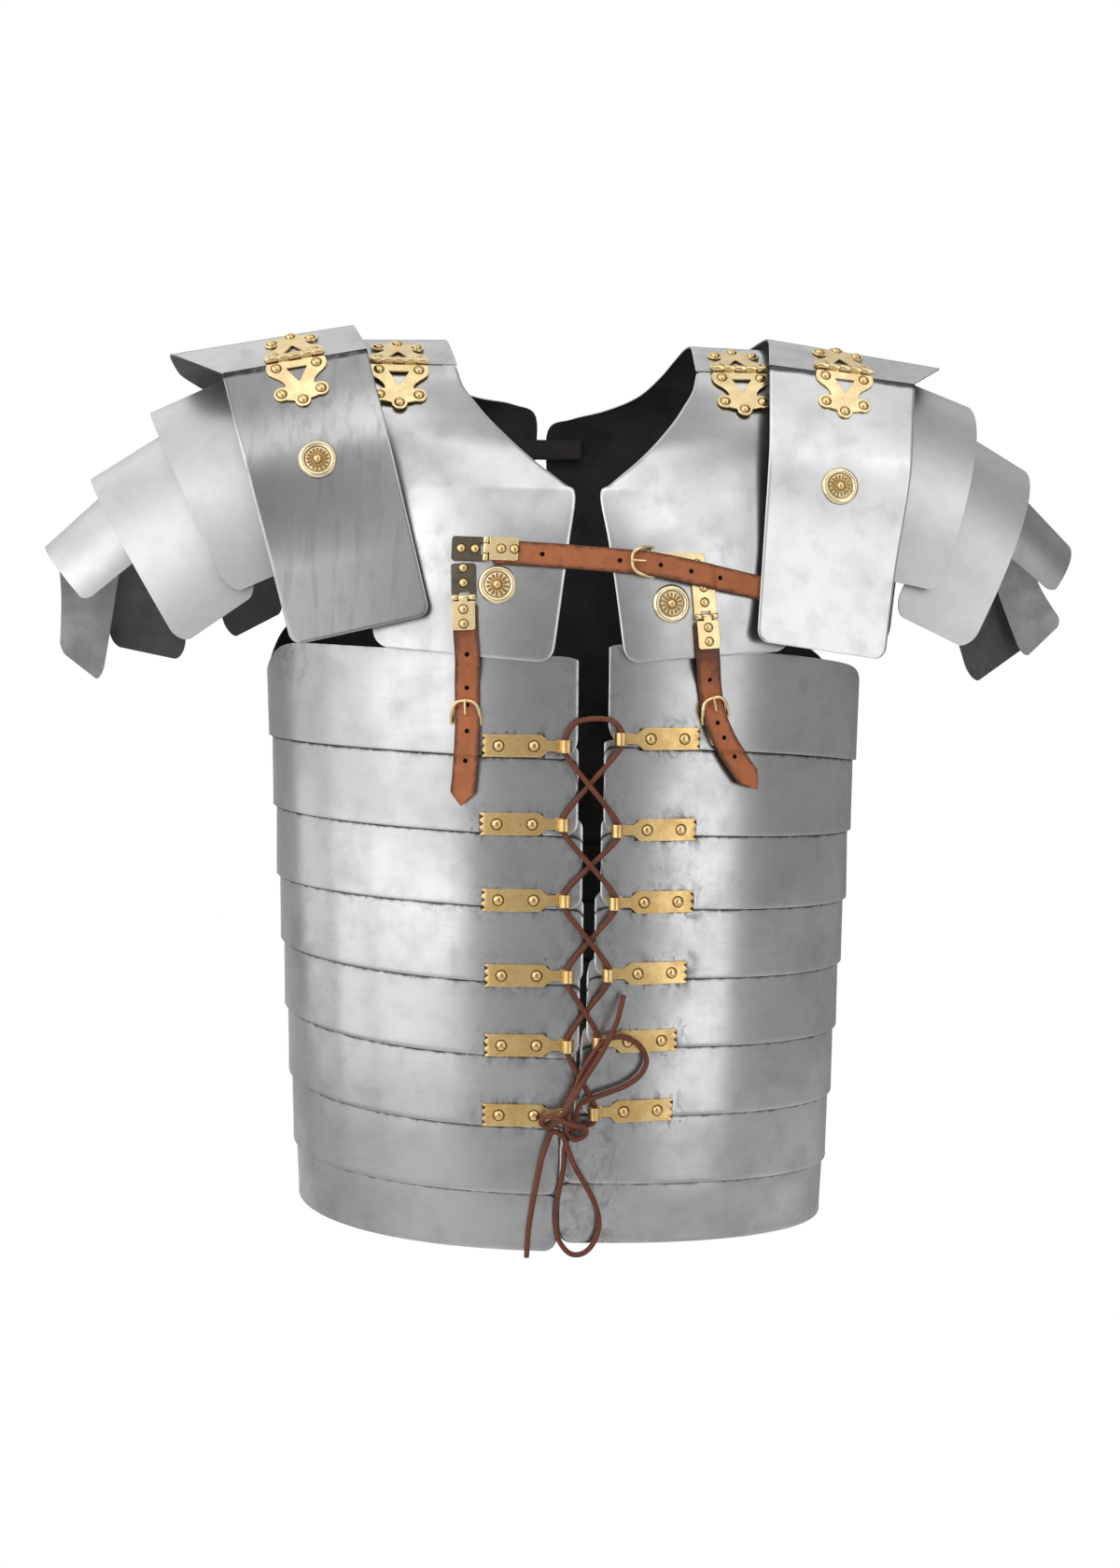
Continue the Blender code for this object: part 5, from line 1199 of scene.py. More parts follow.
for index, hoop in enumerate(HOOPS):
    radius = hoop["corner"]
    gap = hoop["gap"] if hoop["gap"] > 0.002 else 0.0002
    x_left = hoop["middle"] + gap / 2
    x_right = hoop["middle"] - gap / 2
    end_steps = [radius * (1 - math.cos(math.pi / 2 * k / 8)) for k in range(9)]

    turns = [turn_at(index, x_left + d) for d in end_steps]
    turns += [mix(turns[-1], first_turn, k / 14) for k in range(1, 14)]
    turns += front_turns
    turns += [mix(last_turn, 2 * math.pi + turn_at(index, x_right - radius), k / 14) for k in range(1, 14)]
    turns += [2 * math.pi + turn_at(index, x_right - d) for d in reversed(end_steps)]
    height = torso_top(index, 0.0) - hoop["bottom"]

    def limits(turn, hoop=hoop, index=index, radius=radius, height=height, x_left=x_left, x_right=x_right):
        x = torso_point(index, turn, 1.0).x
        along = min(abs(x - x_left), abs(x - x_right)) if math.cos(turn) > 0 else 1.0
        if along >= radius:
            return 0.0, 1.0
        trim = (radius - math.sqrt(radius ** 2 - (radius - along) ** 2)) / height
        return trim, 1 - trim

    def burnished(turn, v, index=index, radius=radius, height=height, x_left=x_left, x_right=x_right, surface=hoop_surface(index)):
        p = surface(turn, v)
        if math.cos(turn) > 0:
            shown = torso_point(index, turn, 1.0)
            p.y += rolled(min(abs(shown.x - x_left), abs(shown.x - x_right)), abs(p.z - shown.z) + 0.0006, radius)
        return p

    plate(
        f"girth_hoop_{index + 1}", burnished,
        turns, HOOP_ROWS, HOOP_STEEL, HOOP_INSIDE, bevel=0.00045,
        outward=away_from(0, 0, 0, flat=True), v_limits=limits, soil=hoop_soil_and_shade(index),
        edge=seam_shadow_and_grime if index else None,
    )

def reaching(surface):
    """The surface carried straight on a little beyond its upper edge."""
    def point(u, v):
        if v >= 0:
            return surface(u, v)
        return surface(u, 0.0) + (surface(u, 0.01) - surface(u, 0.0)) * (v / 0.01)

    return point


# Collar plates, shoulder guards and arm bands.
for side in SIDES:
    name, sign = side
    mirrored = Vector((sign, 1, 1))
    boss = BREAST_BOSS[name]

    def breast_soil(p, sign=sign, boss=boss):
        value = 0.34 * math.exp(-((abs(p.x) - boss[0]) ** 2 + (p.z - boss[1]) ** 2) / 0.020 ** 2)
        return max(value, 0.30 * math.exp(-((abs(p.x) - 0.085) ** 2 + (p.z + 0.15) ** 2) / 0.030 ** 2))

    def leaf_rolled(u, v, front, side=side):
        p = leaf_point(u, v, side, front)
        turn = rolled(min(u, 1 - u) * 0.100, (1 - v) * LEAF_LENGTH, LEAF_CORNER)
        p.y += turn if front else -turn
        return p

    def breast_rolled(u, v, mirrored=mirrored):
        p = breast(u, v) * mirrored
        p.y += rolled(u * 0.110, (1 - v) * 0.20, 0.009)
        neck = 0.0014 * max(0.0, 1 - u * 0.110 / 0.0045) ** 2 * smooth_step((0.55 - v) / 0.10)
        p += Vector((0.0, 0.7, -0.7)) * neck
        return p

    plate(
        f"breast_plate_{name}", reaching(breast_rolled),
        sorted(positions(28, (0.0, 0.07)) + [0.005, 0.011, 0.018, 0.027]), [-0.012] + sorted(positions(70) + [0.990, 0.994, 0.998]), PLATE_STEEL, PLATE_INSIDE, bevel=0.00045,
        outward=away_from(0, 0.0, -0.25), soil=breast_soil,
        v_limits=rounded(0.110, 0.20, 0.009, (False, False, True, True)),
    )
    plate(
        f"collar_back_plate_{name}", lambda u, v: collar_back(u, v, side),
        positions(28), positions(90), PLATE_STEEL, PLATE_INSIDE, outward=away_from(0, 0.0, -0.25),
    )
    plate(
        f"shoulder_guard_top_{name}", lambda u, v: guard_top(u, v, side),
        positions(24), positions(80), PLATE_STEEL, BAND_INSIDE, outward=lambda p: Vector((0, 0, 1)),
    )
    for end, front in (("front", True), ("back", False)):
        plate(
            f"shoulder_guard_{end}_{name}", reaching(lambda u, v, front=front: leaf_rolled(u, v, front)),
            sorted(positions(24, (0.08, 0.08)) + [0.005, 0.011, 0.018, 0.982, 0.989, 0.995]),
            [-0.007] + sorted(positions(90) + [0.990, 0.994, 0.998]), LEAF_STEEL[name], BAND_INSIDE,
            edge=lambda u, v: v,
            outward=lambda p, front=front: Vector((0, -1 if front else 1, 0.2)),
            v_limits=rounded(0.100, LEAF_LENGTH, LEAF_CORNER, (False, False, True, True)),
        )
    for index in range(len(BANDS[name])):
        plate(
            f"lesser_guard_{index + 1}_{name}", lambda u, v, index=index: band_point(index, u, v, side),
            positions(14, (0.14, 0.14)), positions(90), BAND_SHADED if name == "left" and index == 2 else BAND_STEEL, BAND_INSIDE_LIT if index == 2 else BAND_INSIDE,
            outward=away_from(sign * 0.20, 0.0, -0.20), v_limits=rounded(0.050, 0.33, BAND_CORNER),
        )


# ---------------------------------------------------------------- fittings
class Parts:
    """Several closed forms gathered into one piece."""

    def __init__(self):
        self.bm = bmesh.new()

    def add(self, mesh, matrix=None, index=0):
        if matrix is not None:
            mesh.transform(matrix)
        for polygon in mesh.polygons:
            if index is not None:
                polygon.material_index = index
            polygon.use_smooth = True
        self.bm.from_mesh(mesh)
        bpy.data.meshes.remove(mesh)

    def place(self, node, slot, *materials, name=None, angle=38):
        mesh = bpy.data.meshes.new(name or node + "_detail")
        self.bm.to_mesh(mesh)
        self.bm.free()
        mesh.shade_smooth()
        mesh.set_sharp_from_angle(angle=math.radians(angle))
        made = bpy.data.objects.new(name or node + "_detail", mesh)
        return settle(made, node, slot, *materials)


def from_object(made):
    bpy.context.scene.collection.objects.link(made)
    bpy.context.view_layer.update()
    mesh = bpy.data.meshes.new_from_object(made.evaluated_get(bpy.context.evaluated_depsgraph_get()))
    mesh.materials.clear()
    data = made.data
    bpy.data.objects.remove(made, do_unlink=True)
    if isinstance(data, bpy.types.Curve):
        bpy.data.curves.remove(data)
    elif data.users == 0:
        bpy.data.meshes.remove(data)
    return mesh


def cut_plate(outlines, low, high, bevel=0.0003):
    """A flat plate from its outline and any holes, with broken edges."""
    curve = bpy.data.curves.new("outline", "CURVE")
    curve.dimensions = "2D"
    curve.fill_mode = "BOTH"
    curve.extrude = (high - low) / 2 - bevel
    curve.bevel_depth = bevel
    curve.bevel_resolution = 2
    curve.offset = -bevel
    for outline in outlines:
        line = curve.splines.new("POLY")
        line.points.add(len(outline) - 1)
        for point, (x, y) in zip(line.points, outline):
            point.co = (x, y, 0.0, 1.0)
        line.use_cyclic_u = True
    mesh = from_object(bpy.data.objects.new("outline", curve))
    mesh.transform(Matrix.Translation((0, 0, (low + high) / 2)))
    return mesh


def turned(profile, sides=28, bend=None):
    """A form turned about local z from rows of radius and height."""
    bm = bmesh.new()
    rings = []
    for r, h in profile:
        if r < 1e-7:
            rings.append([bm.verts.new((0, 0, h))])
        else:
            ring = []
            for k in range(sides):
                t = 2 * math.pi * k / sides
                z = h + (bend(r, t) if bend else 0.0)
                ring.append(bm.verts.new((r * math.cos(t), r * math.sin(t), z)))
            rings.append(ring)
    for a, b in zip(rings, rings[1:]):
        for k in range(sides):
            n = (k + 1) % sides
            if len(a) == 1:
                bm.faces.new((a[0], b[k], b[n]))
            elif len(b) == 1:
                bm.faces.new((a[k], b[0], a[n]))
            else:
                bm.faces.new((a[k], b[k], b[n], a[n]))
    bmesh.ops.recalc_face_normals(bm, faces=bm.faces[:])
    mesh = bpy.data.meshes.new("turned")
    bm.to_mesh(mesh)
    bm.free()
    return mesh


def rivet_mesh(radius=0.0028, height=0.0017):
    """A domed rivet head on z = 0, with a small washer line at its foot."""
    profile = [(0.0, height)]
    for k in range(1, 8):
        t = math.pi / 2 * k / 7
        profile.append((radius * math.sin(t) ** 0.92, height * math.cos(t) ** 0.85 + 0.00012))
    profile.append((radius * 1.03, 0.0))
    profile.append((radius * 0.8, -0.0003))
    profile.append((0.0, -0.0003))
    return turned(profile, 24)


def add_rivet(parts, matrix, radius=0.0030, height=0.0018):
    """A domed head standing in a dark ring round its foot, a painted shadow."""
    parts.add(rivet_mesh(radius, height), matrix, 1)
    ring = turned([(radius * 0.96, 0.00006), (radius * 1.17, 0.00005), (radius * 1.20, -0.00010), (radius * 0.96, -0.00010)], 28)
    parts.add(ring, matrix, 2)


def tube_mesh(points, radius, cyclic=False):
    curve = bpy.data.curves.new("wire", "CURVE")
    curve.dimensions = "3D"
    curve.bevel_depth = radius
    curve.bevel_resolution = 5
    curve.use_fill_caps = True
    line = curve.splines.new("POLY")
    line.points.add(len(points) - 1)
    for point, co in zip(line.points, points):
        point.co = (*co, 1.0)
    line.use_cyclic_u = cyclic
    return from_object(bpy.data.objects.new("wire", curve))


def barrel_mesh(radius, start, end, bore=None):
    """One knuckle along local x with rounded ends."""
    soft = min(0.00035, (end - start) / 4)
    profile = [(0.0, start), (radius - soft, start), (radius - soft * 0.3, start + soft * 0.3), (radius, start + soft),
               (radius, end - soft), (radius - soft * 0.3, end - soft * 0.3), (radius - soft, end), (0.0, end)]
    mesh = turned(profile, 28)
    mesh.transform(Matrix.Rotation(math.pi / 2, 4, "Y"))
    return mesh


def round_corners(outline, radius, parts=5):
    """A polygon's corners rounded; each row may give its own radius."""
    made = []
    count = len(outline)
    for k in range(count):
        p = Vector(outline[k][:2])
        r = outline[k][2] if len(outline[k]) > 2 else radius
        a, b = Vector(outline[k - 1][:2]), Vector(outline[(k + 1) % count][:2])
        da, db = (a - p).normalized(), (b - p).normalized()
        if r <= 0:
            made.append(tuple(p))
            continue
        reach = min(r, (a - p).length * 0.48, (b - p).length * 0.48)
        start, end = p + da * reach, p + db * reach
        for i in range(parts + 1):
            t = i / parts
            q = start * (1 - t) ** 2 + p * 2 * t * (1 - t) + end * t ** 2
            made.append(tuple(q))
    return made


def lobed_outline(knuckles, clear=0.0027):
    """The lobed hinge leaf: a waist below its shoulders and three round lobes."""
    edge = 0.0185
    side = [
        (edge, clear), (0.0193, 0.0050), (0.0194, 0.0078), (0.0184, 0.0104), (0.0160, 0.0127), (0.0131, 0.0147),
        (0.0107, 0.0170), (0.0093, 0.0195), (0.0092, 0.0213),
    ]
    (sa, sd), (ba, bd) = LOBES
    side += [(sa + LOBE_RADIUS * math.cos(t), sd + LOBE_RADIUS * math.sin(t)) for t in
             [math.radians(d) for d in range(-100, 120, 14)]]
    side += [(ba + LOBE_RADIUS * 1.02 * math.cos(t), bd + LOBE_RADIUS * math.sin(t)) for t in
             [math.radians(d) for d in range(0, 90, 15)]]
    tongues = []
    for k in knuckles:
        start, end = knuckle_span(k)
        start, end = max(start, -edge), min(end, edge)
        tongues += [(start, clear), (start, 0.0003), (end, 0.0003), (end, clear)]
    top = [(-edge, clear)] + tongues
    outline = top + side + [(0.0, bd + LOBE_RADIUS)] + [(-a, d) for a, d in reversed(side)][:-1]
    cleaned = []
    for p in outline:
        if not cleaned or math.dist(p, cleaned[-1]) > 0.00008:
            cleaned.append(p)
    return cleaned


TRIANGLE = ((-0.0066, 0.0080), (0.0066, 0.0080), (0.0, 0.0188))
LEAF_RIVETS = ((-0.0128, 0.0068), (0.0128, 0.0068), (-0.0125, 0.0262), (0.0125, 0.0262), (0.0, 0.0322))


def add_leaf(parts, matrix, knuckles):
    low, high = -KNUCKLE_RADIUS + 0.00002, -KNUCKLE_RADIUS + BRASS + 0.0001
    parts.add(cut_plate([lobed_outline(knuckles), round_corners(TRIANGLE, 0.0006, 3)], low, high), matrix)
    for k in knuckles:
        parts.add(barrel_mesh(KNUCKLE_RADIUS, *knuckle_span(k)), matrix)
    for a, d in LEAF_RIVETS:
        add_rivet(parts, matrix @ Matrix.Translation((a, d, high)))


def add_pin(parts, matrix, radius=0.0012):
    points = [(x, 0.0, 0.0) for x in (-HINGE_WIDTH / 2 - 0.0007, HINGE_WIDTH / 2 + 0.0007)]
    mesh = tube_mesh(points, radius)
    parts.add(mesh, matrix)


def back_hinge_frames(side):
    flip = lambda u, v: guard_top(u, 1 - v, side)
    back = lambda u, v: leaf_point(u, v, side, False)
    frames = []
    for surface, v_far in ((flip, 0.10), (back, 0.10)):
        near, far = surface(0.5, 0.0), surface(0.5, v_far)
        line = (surface(0.7, 0.0) - surface(0.3, 0.0)).normalized()
        down = far - near
        down = (down - line * down.dot(line)).normalized()
        out = line.cross(down).normalized()
        if out.dot(Vector((0, 1, 1))) < 0:
            out = -out
        across = down.cross(out)
        rise = clearance(surface, (near, across, down, out), (-0.016, 0.016), (0.0, 0.017))
        frames.append((near, across, down, out, rise))
    stand = KNUCKLE_RADIUS + GAP
    rows = Matrix((frames[0][3], frames[1][3], frames[0][1]))
    values = Vector((
        frames[0][3].dot(frames[0][0]) + stand + frames[0][4],
        frames[1][3].dot(frames[1][0]) + stand + frames[1][4],
        frames[0][1].dot(frames[0][0]),
    ))
    middle = rows.inverted() @ values
    return [frame_matrix(middle, f[1], f[2], f[3]) for f in frames]


for side in SIDES:
    name, sign = side
    mirrored = Vector((sign, 1, 1))
    _, _, (m_fixed, m_moving) = two_leaf_hinge(
        side, lambda u, v: guard_top(u, v, side), lambda u, v: leaf_point(u, v, side), HINGE_AT[name], 0.168, 0.185
    )
    parts = Parts()
    add_leaf(parts, m_fixed, (0, 2, 4))
    add_pin(parts, m_fixed)
    parts.place(f"shoulder_hinge_fixed_{name}", "brass", BRASS_FINISH, BRASS_RIVET, BRASS_RIVET_SHADOW)
    parts = Parts()
    add_leaf(parts, m_moving, (1, 3))
    parts.place(f"shoulder_hinge_moving_{name}", "brass", BRASS_FINISH, BRASS_RIVET, BRASS_RIVET_SHADOW)

    _, _, (m_upper, m_lower) = two_leaf_hinge(
        side, lambda u, v: collar(u, v) * mirrored, lambda u, v: breast(u, v) * mirrored, COLLAR_HINGE_AT[name], 0.145, 0.26
    )
    parts = Parts()
    add_leaf(parts, m_upper, (0, 2, 4))
    add_leaf(parts, m_lower, (1, 3))
    add_pin(parts, m_upper)
    parts.place(f"collar_hinge_{name}", "brass", BRASS_FINISH, BRASS_RIVET, BRASS_RIVET_SHADOW)

    parts = Parts()
    frames = back_hinge_frames(side)
    for k in range(3):
        parts.add(barrel_mesh(KNUCKLE_RADIUS, -0.015 + 0.010 * k + 0.0001, -0.005 + 0.010 * k - 0.0001), frames[0])
    for k, m in enumerate(frames):
        half = 0.015 - 0.0004 * (k + 1)
        low, high = -KNUCKLE_RADIUS + 0.00003, -KNUCKLE_RADIUS + BRASS
        outline = round_corners(((-half, 0.0006, 0), (half, 0.0006, 0), (half, 0.015), (-half, 0.015)), 0.002)
        parts.add(cut_plate([outline], low, high), m)
        for a in (-0.0095, 0.0095):
            add_rivet(parts, m @ Matrix.Translation((a, 0.0100, high)), 0.0024, 0.0014)
    parts.place(f"shoulder_hinge_back_{name}", "brass", BRASS_FINISH, BRASS_RIVET, BRASS_RIVET_SHADOW)


# Round bosses: a rolled rim, a sunk ring of radial ticks and a domed rivet.
def boss_mesh(ticks):
    profile = [
        (0.0, 0.0036), (0.0008, 0.00354), (0.0015, 0.0033), (0.0021, 0.0029), (0.0026, 0.0023), (0.0029, 0.0016),
        (0.00300, 0.0010), (0.0032, 0.00085), (0.0036, 0.00095), (0.0041, 0.0010), (0.0046, 0.0010), (0.0052, 0.0010),
        (0.0058, 0.0010), (0.0064, 0.0010), (0.0070, 0.00095), (0.0074, 0.0008), (0.0077, 0.0007), (0.0080, 0.0008),
        (0.0083, 0.00115), (0.0089, 0.00165), (0.0096, 0.00185), (0.0103, 0.00180), (0.0110, 0.00155), (0.0116, 0.0010),
        (0.0120, 0.0004), (0.0121, 0.0), (0.0, 0.0),
    ]

    def bend(r, t):
        if not ticks or not 0.0034 < r < 0.0072:
            return 0.0
        fade = smooth_step((r - 0.0034) / 0.0007) * (1 - smooth_step((r - 0.0064) / 0.0007))
        wave = max(0.0, math.cos(t * ticks)) ** 3
        return fade * (0.00052 * wave - 0.00012)

    made = turned(profile, 192, bend)
    for polygon in made.polygons:
        r = math.hypot(polygon.center.x, polygon.center.y)
        low = 0.00295 < r < 0.0034 or 0.0072 < r < 0.0082
        valley = ticks and 0.0036 < r < 0.0070 and polygon.center.z < 0.00093
        # Grooves and the valleys between the ticks take slot 1, a painted shade.
        polygon.material_index = 2 if r < 0.00295 else 1 if (low or valley) else 0
    return made


def boss(node, surface, u, v, ticks):
    here, across, down, out = laid_on(surface, u, v, outward=Vector((0, -1, 0.3)))
    across = down.cross(out)
    rise = clearance(surface, (here, across, down, out), (-ROSETTE_RADIUS, ROSETTE_RADIUS), (-ROSETTE_RADIUS, ROSETTE_RADIUS))
    parts = Parts()
    parts.add(boss_mesh(ticks), frame_matrix(here + out * (GAP + rise), across, down, out), None)
    parts.place(node, "brass", BRASS_BOSS, BRASS_SUNK_SHADE, BRASS_RIVET, angle=70)


BRASS_BOSS = brass("brass_bosses", (0.96, 0.84, 0.57), 0.20, wear=0.5)
# Painted shade for the boss's grooves and the valleys between its ticks.
BRASS_SUNK_SHADE = brass("brass_sunk", (0.42, 0.27, 0.11), 0.38)
for side in SIDES:
    name, sign = side
    mirrored = Vector((sign, 1, 1))
    boss(f"rosette_guard_{name}", lambda u, v: leaf_point(u, v, side), *GUARD_BOSS[name], 16)
    boss(f"rosette_breast_{name}", lambda u, v: breast(u, v) * mirrored, *uv_of(breast, *BREAST_BOSS[name]), 14)


# ---------------------------------------------------------------- lace loops
TIE_RIVETS = (0.0195, 0.0415)


def tie_width(s):
    if s < 0.0045:
        return 0.0080
    neck = mix(0.0080, 0.0064, smooth_step((s - 0.0040) / 0.0014))
    return mix(neck, TIE_WIDTH, smooth_step((s - 0.0098) / 0.0062))


def tie_detail(index, sign, x_curl, z):
    """The strip's middle surface: s is the length from the curl's axis."""

    def point(s, v):
        if s >= 0:
            x = x_curl + sign * s
            return Vector((x, torso_front(x, z, index) - GAP - BRASS / 2, z + (v - 0.5) * tie_width(s)))
        angle = -s / CURL
        centre_y = torso_front(x_curl, z, index) - GAP - BRASS / 2 - CURL
        return Vector((
            x_curl - sign * CURL * math.sin(angle), centre_y + CURL * math.cos(angle), z + (v - 0.5) * 0.0080,
        ))

    return point


def notch(k):
    """How far the three bites cut into the strip's outer end at row k of 24."""
    return 0.0002 + 0.0024 * max(0.0, 1 - abs(k % 8 - 4) / 2.6)


for index, tie in enumerate(TIES):
    for name, sign in SIDES:
        surface = tie_detail(index, sign, tie[name], tie[name + "_z"])
        lengths = [TIE_LENGTH - 0.0034, 0.046, 0.040, 0.034, 0.028, 0.022, 0.018]
        lengths += [0.0165 - 0.0006 * k for k in range(13)]
        lengths += [0.0082, 0.0070, 0.0058, 0.0052, 0.0047, 0.0043, 0.0034, 0.0020, 0.0008, 0.0]
        lengths += [-CURL * CURL_TURN * k / 22 for k in range(1, 23)]
        bm = bmesh.new()
        rows = 24
        grid = [[bm.verts.new(surface(TIE_LENGTH - notch(k), k / rows)) for k in range(rows + 1)]]
        grid += [[bm.verts.new(surface(s, k / rows)) for k in range(rows + 1)] for s in lengths]
        for a, b in zip(grid, grid[1:]):
            for k in range(rows):
                bm.faces.new((a[k], b[k], b[k + 1], a[k + 1]))
        bm.normal_update()
        front = [f for f in bm.faces if abs(f.calc_center_median().x - tie[name]) > 0.02]
        if sum(f.normal.y for f in front) > 0:
            bmesh.ops.reverse_faces(bm, faces=bm.faces[:])
        mesh = bpy.data.meshes.new("strip")
        bm.to_mesh(mesh)
        bm.free()
        mesh.shade_smooth()
        strip = bpy.data.objects.new("strip", mesh)
        shell = strip.modifiers.new("thickness", "SOLIDIFY")
        shell.thickness = BRASS
        shell.offset = 0.0
        shell.use_even_offset = False
        broken = strip.modifiers.new("edges", "BEVEL")
        broken.width = 0.00025
        broken.segments = 2
        broken.limit_method = "ANGLE"
        broken.angle_limit = math.radians(50)
        parts = Parts()
        parts.add(from_object(strip))
        for s in TIE_RIVETS:
            here = surface(s, 0.5)
            a = (surface(s + 0.002, 0.5) - surface(s - 0.002, 0.5)).normalized()
            out = a.cross(Vector((0, 0, 1))).normalized()
            if out.y > 0:
                out = -out
            add_rivet(parts, frame_matrix(here + out * BRASS / 2, a, out.cross(a), out), 0.0032, 0.0020)
        parts.place(f"tie_loop_{name}_{index + 1}", "brass", BRASS_TIE, BRASS_RIVET, BRASS_RIVET_SHADOW)


# ---------------------------------------------------------------- straps
def buckle_rest(x, z, direction, plate_length, plate_width):
    """The buckle's frame, and how high the strap rests over its bar and plate."""
    here, across, along, out = strap_frame(x, z, direction)
    lift = lift_above((here, across, along, out), ((-plate_width / 2, plate_width / 2), (0.0, plate_length)))
    origin = here + out * lift
    m = frame_matrix(origin, across, along, out)
    inverse = m.inverted()

    def rest(px, pz):
        y = origin.y - ((px - origin.x) * out.x + (pz - origin.z) * out.z) / out.y
        on = inverse @ Vector((px, y, pz))
        plane = front_depth(px, pz) - y
        near_bar = 1 - smooth_step((abs(on.y) - 0.0030) / 0.0070)
        near_plate = 1 - smooth_step((max(-on.y, on.y - plate_length) - 0.0030) / 0.0070)
        return max(near_bar * (plane + BUCKLE_BAR + BUCKLE_WIRE + 0.0008), near_plate * (plane + GAP + BRASS + 0.0012))

    return m, rest


# Punched holes, as lengths along each strap in shares of the route.
STRAP_HOLES = {
    "collar": (0.12, 0.312, 0.586, 0.709, 0.81),
    "right": (0.17, 0.285, 0.40, 0.65, 0.78),
    "left": (0.25, 0.61, 0.70, 0.80),
}
HOLE_RADIUS = 0.0015


def strap_surface(rows, tip, rest):
    path = along_path(rows)
    length = sum(math.dist(path(k / 60)[:2], path((k + 1) / 60)[:2]) for k in range(60))

    def point(u, v):
        x, z, off = path(u)
        ax, az, _ = path(min(1.0, u + 0.01))
        bx, bz, _ = path(max(0.0, u - 0.01))
        tx, tz = ax - bx, az - bz
        size = math.hypot(tx, tz)
        nx, nz = -tz / size, tx / size
        left = (1 - u) * length
        half = STRAP_WIDTH / 2 * (1.0 if left > tip or not tip else mix(0.06, 1.0, left / tip))
        c = (v - 0.5) * 2 * half
        px, pz = x + nx * c, z + nz * c
        off = max(off, rest(px, pz))
        return Vector((px, front_depth(px, pz) - off - LEATHER, pz))

    return point, length, path


def strap_piece(name, rows, tip, rest):
    point, length, path = strap_surface(rows, tip, rest)
    us = sorted([k / 130 for k in range(131)] + ([1 - tip / length] if tip else []))
    vs = (0.0, 0.04, 0.12, 0.25, 0.4, 0.5, 0.6, 0.75, 0.88, 0.96, 1.0)
    node = f"strap_{name}"
    made = plate(
        node, point, us, vs, LEATHER_STRAP, LEATHER_CUT, slot="leather", thickness=LEATHER,
        outward=lambda p: Vector((0, -1, 0)), bevel=0.0006, segments=3, name=node + "_leather",
        edge=lambda u, v: max(abs(v - 0.5) * 2, 1.0 - (1 - u) * length / 0.0012 if tip else 0.0),
        soil=(lambda p: (1.20 if p.x > 0 else 0.70) * smooth_step((p.z + 0.245) / 0.050)) if tip else (lambda p: 0.12),
    )
    made.modifiers["thickness"].material_offset_rim = 1
    bm = bmesh.new()
    for u in STRAP_HOLES[name]:
        here = point(u, 0.5)
        step = point(min(1.0, u + 0.004), 0.5) - point(max(0.0, u - 0.004), 0.5)
        side = point(u, 0.7) - point(u, 0.3)
        out = step.cross(side).normalized()
        if out.y > 0:
            out = -out
        turn = out.to_track_quat("Z", "Y").to_matrix().to_4x4()
        turn.translation = here + out * (0.006 - LEATHER * 0.86)
        cone = bmesh.ops.create_cone(bm, cap_ends=True, segments=20, radius1=HOLE_RADIUS, radius2=HOLE_RADIUS, depth=0.012)
        bmesh.ops.transform(bm, matrix=turn, verts=cone["verts"])
    mesh = bpy.data.meshes.new(node + "_punch")
    bm.to_mesh(mesh)
    bm.free()
    mesh.materials.append(LEATHER_HOLE_SHADE)
    punch = bpy.data.objects.new(node + "_punch", mesh)
    scene.collection.objects.link(punch)
    cut = made.modifiers.new("holes", "BOOLEAN")
    cut.operation = "DIFFERENCE"
    cut.solver = "EXACT"
    cut.object = punch
    if hasattr(cut, "material_mode"):
        cut.material_mode = "TRANSFER"
    bpy.context.view_layer.update()
    baked = bpy.data.meshes.new_from_object(made.evaluated_get(bpy.context.evaluated_depsgraph_get()))
    made.modifiers.clear()
    old = made.data
    made.data = baked
    bpy.data.meshes.remove(old)
    bpy.data.objects.remove(punch, do_unlink=True)
    bpy.data.meshes.remove(mesh)
    baked.name = node + "_leather"
    baked.shade_smooth()
    baked.set_sharp_from_angle(angle=math.radians(45))
    return point, length


def rounded_box(x0, x1, y0, y1, radius, cut=()):
    """A plate outline; corners named in cut are larger."""
    rows = [(x0, y0), (x1, y0), (x1, y1), (x0, y1)]
    return round_corners([(x, y, 0.0026 if k in cut else radius) for k, (x, y) in enumerate(rows)], radius)


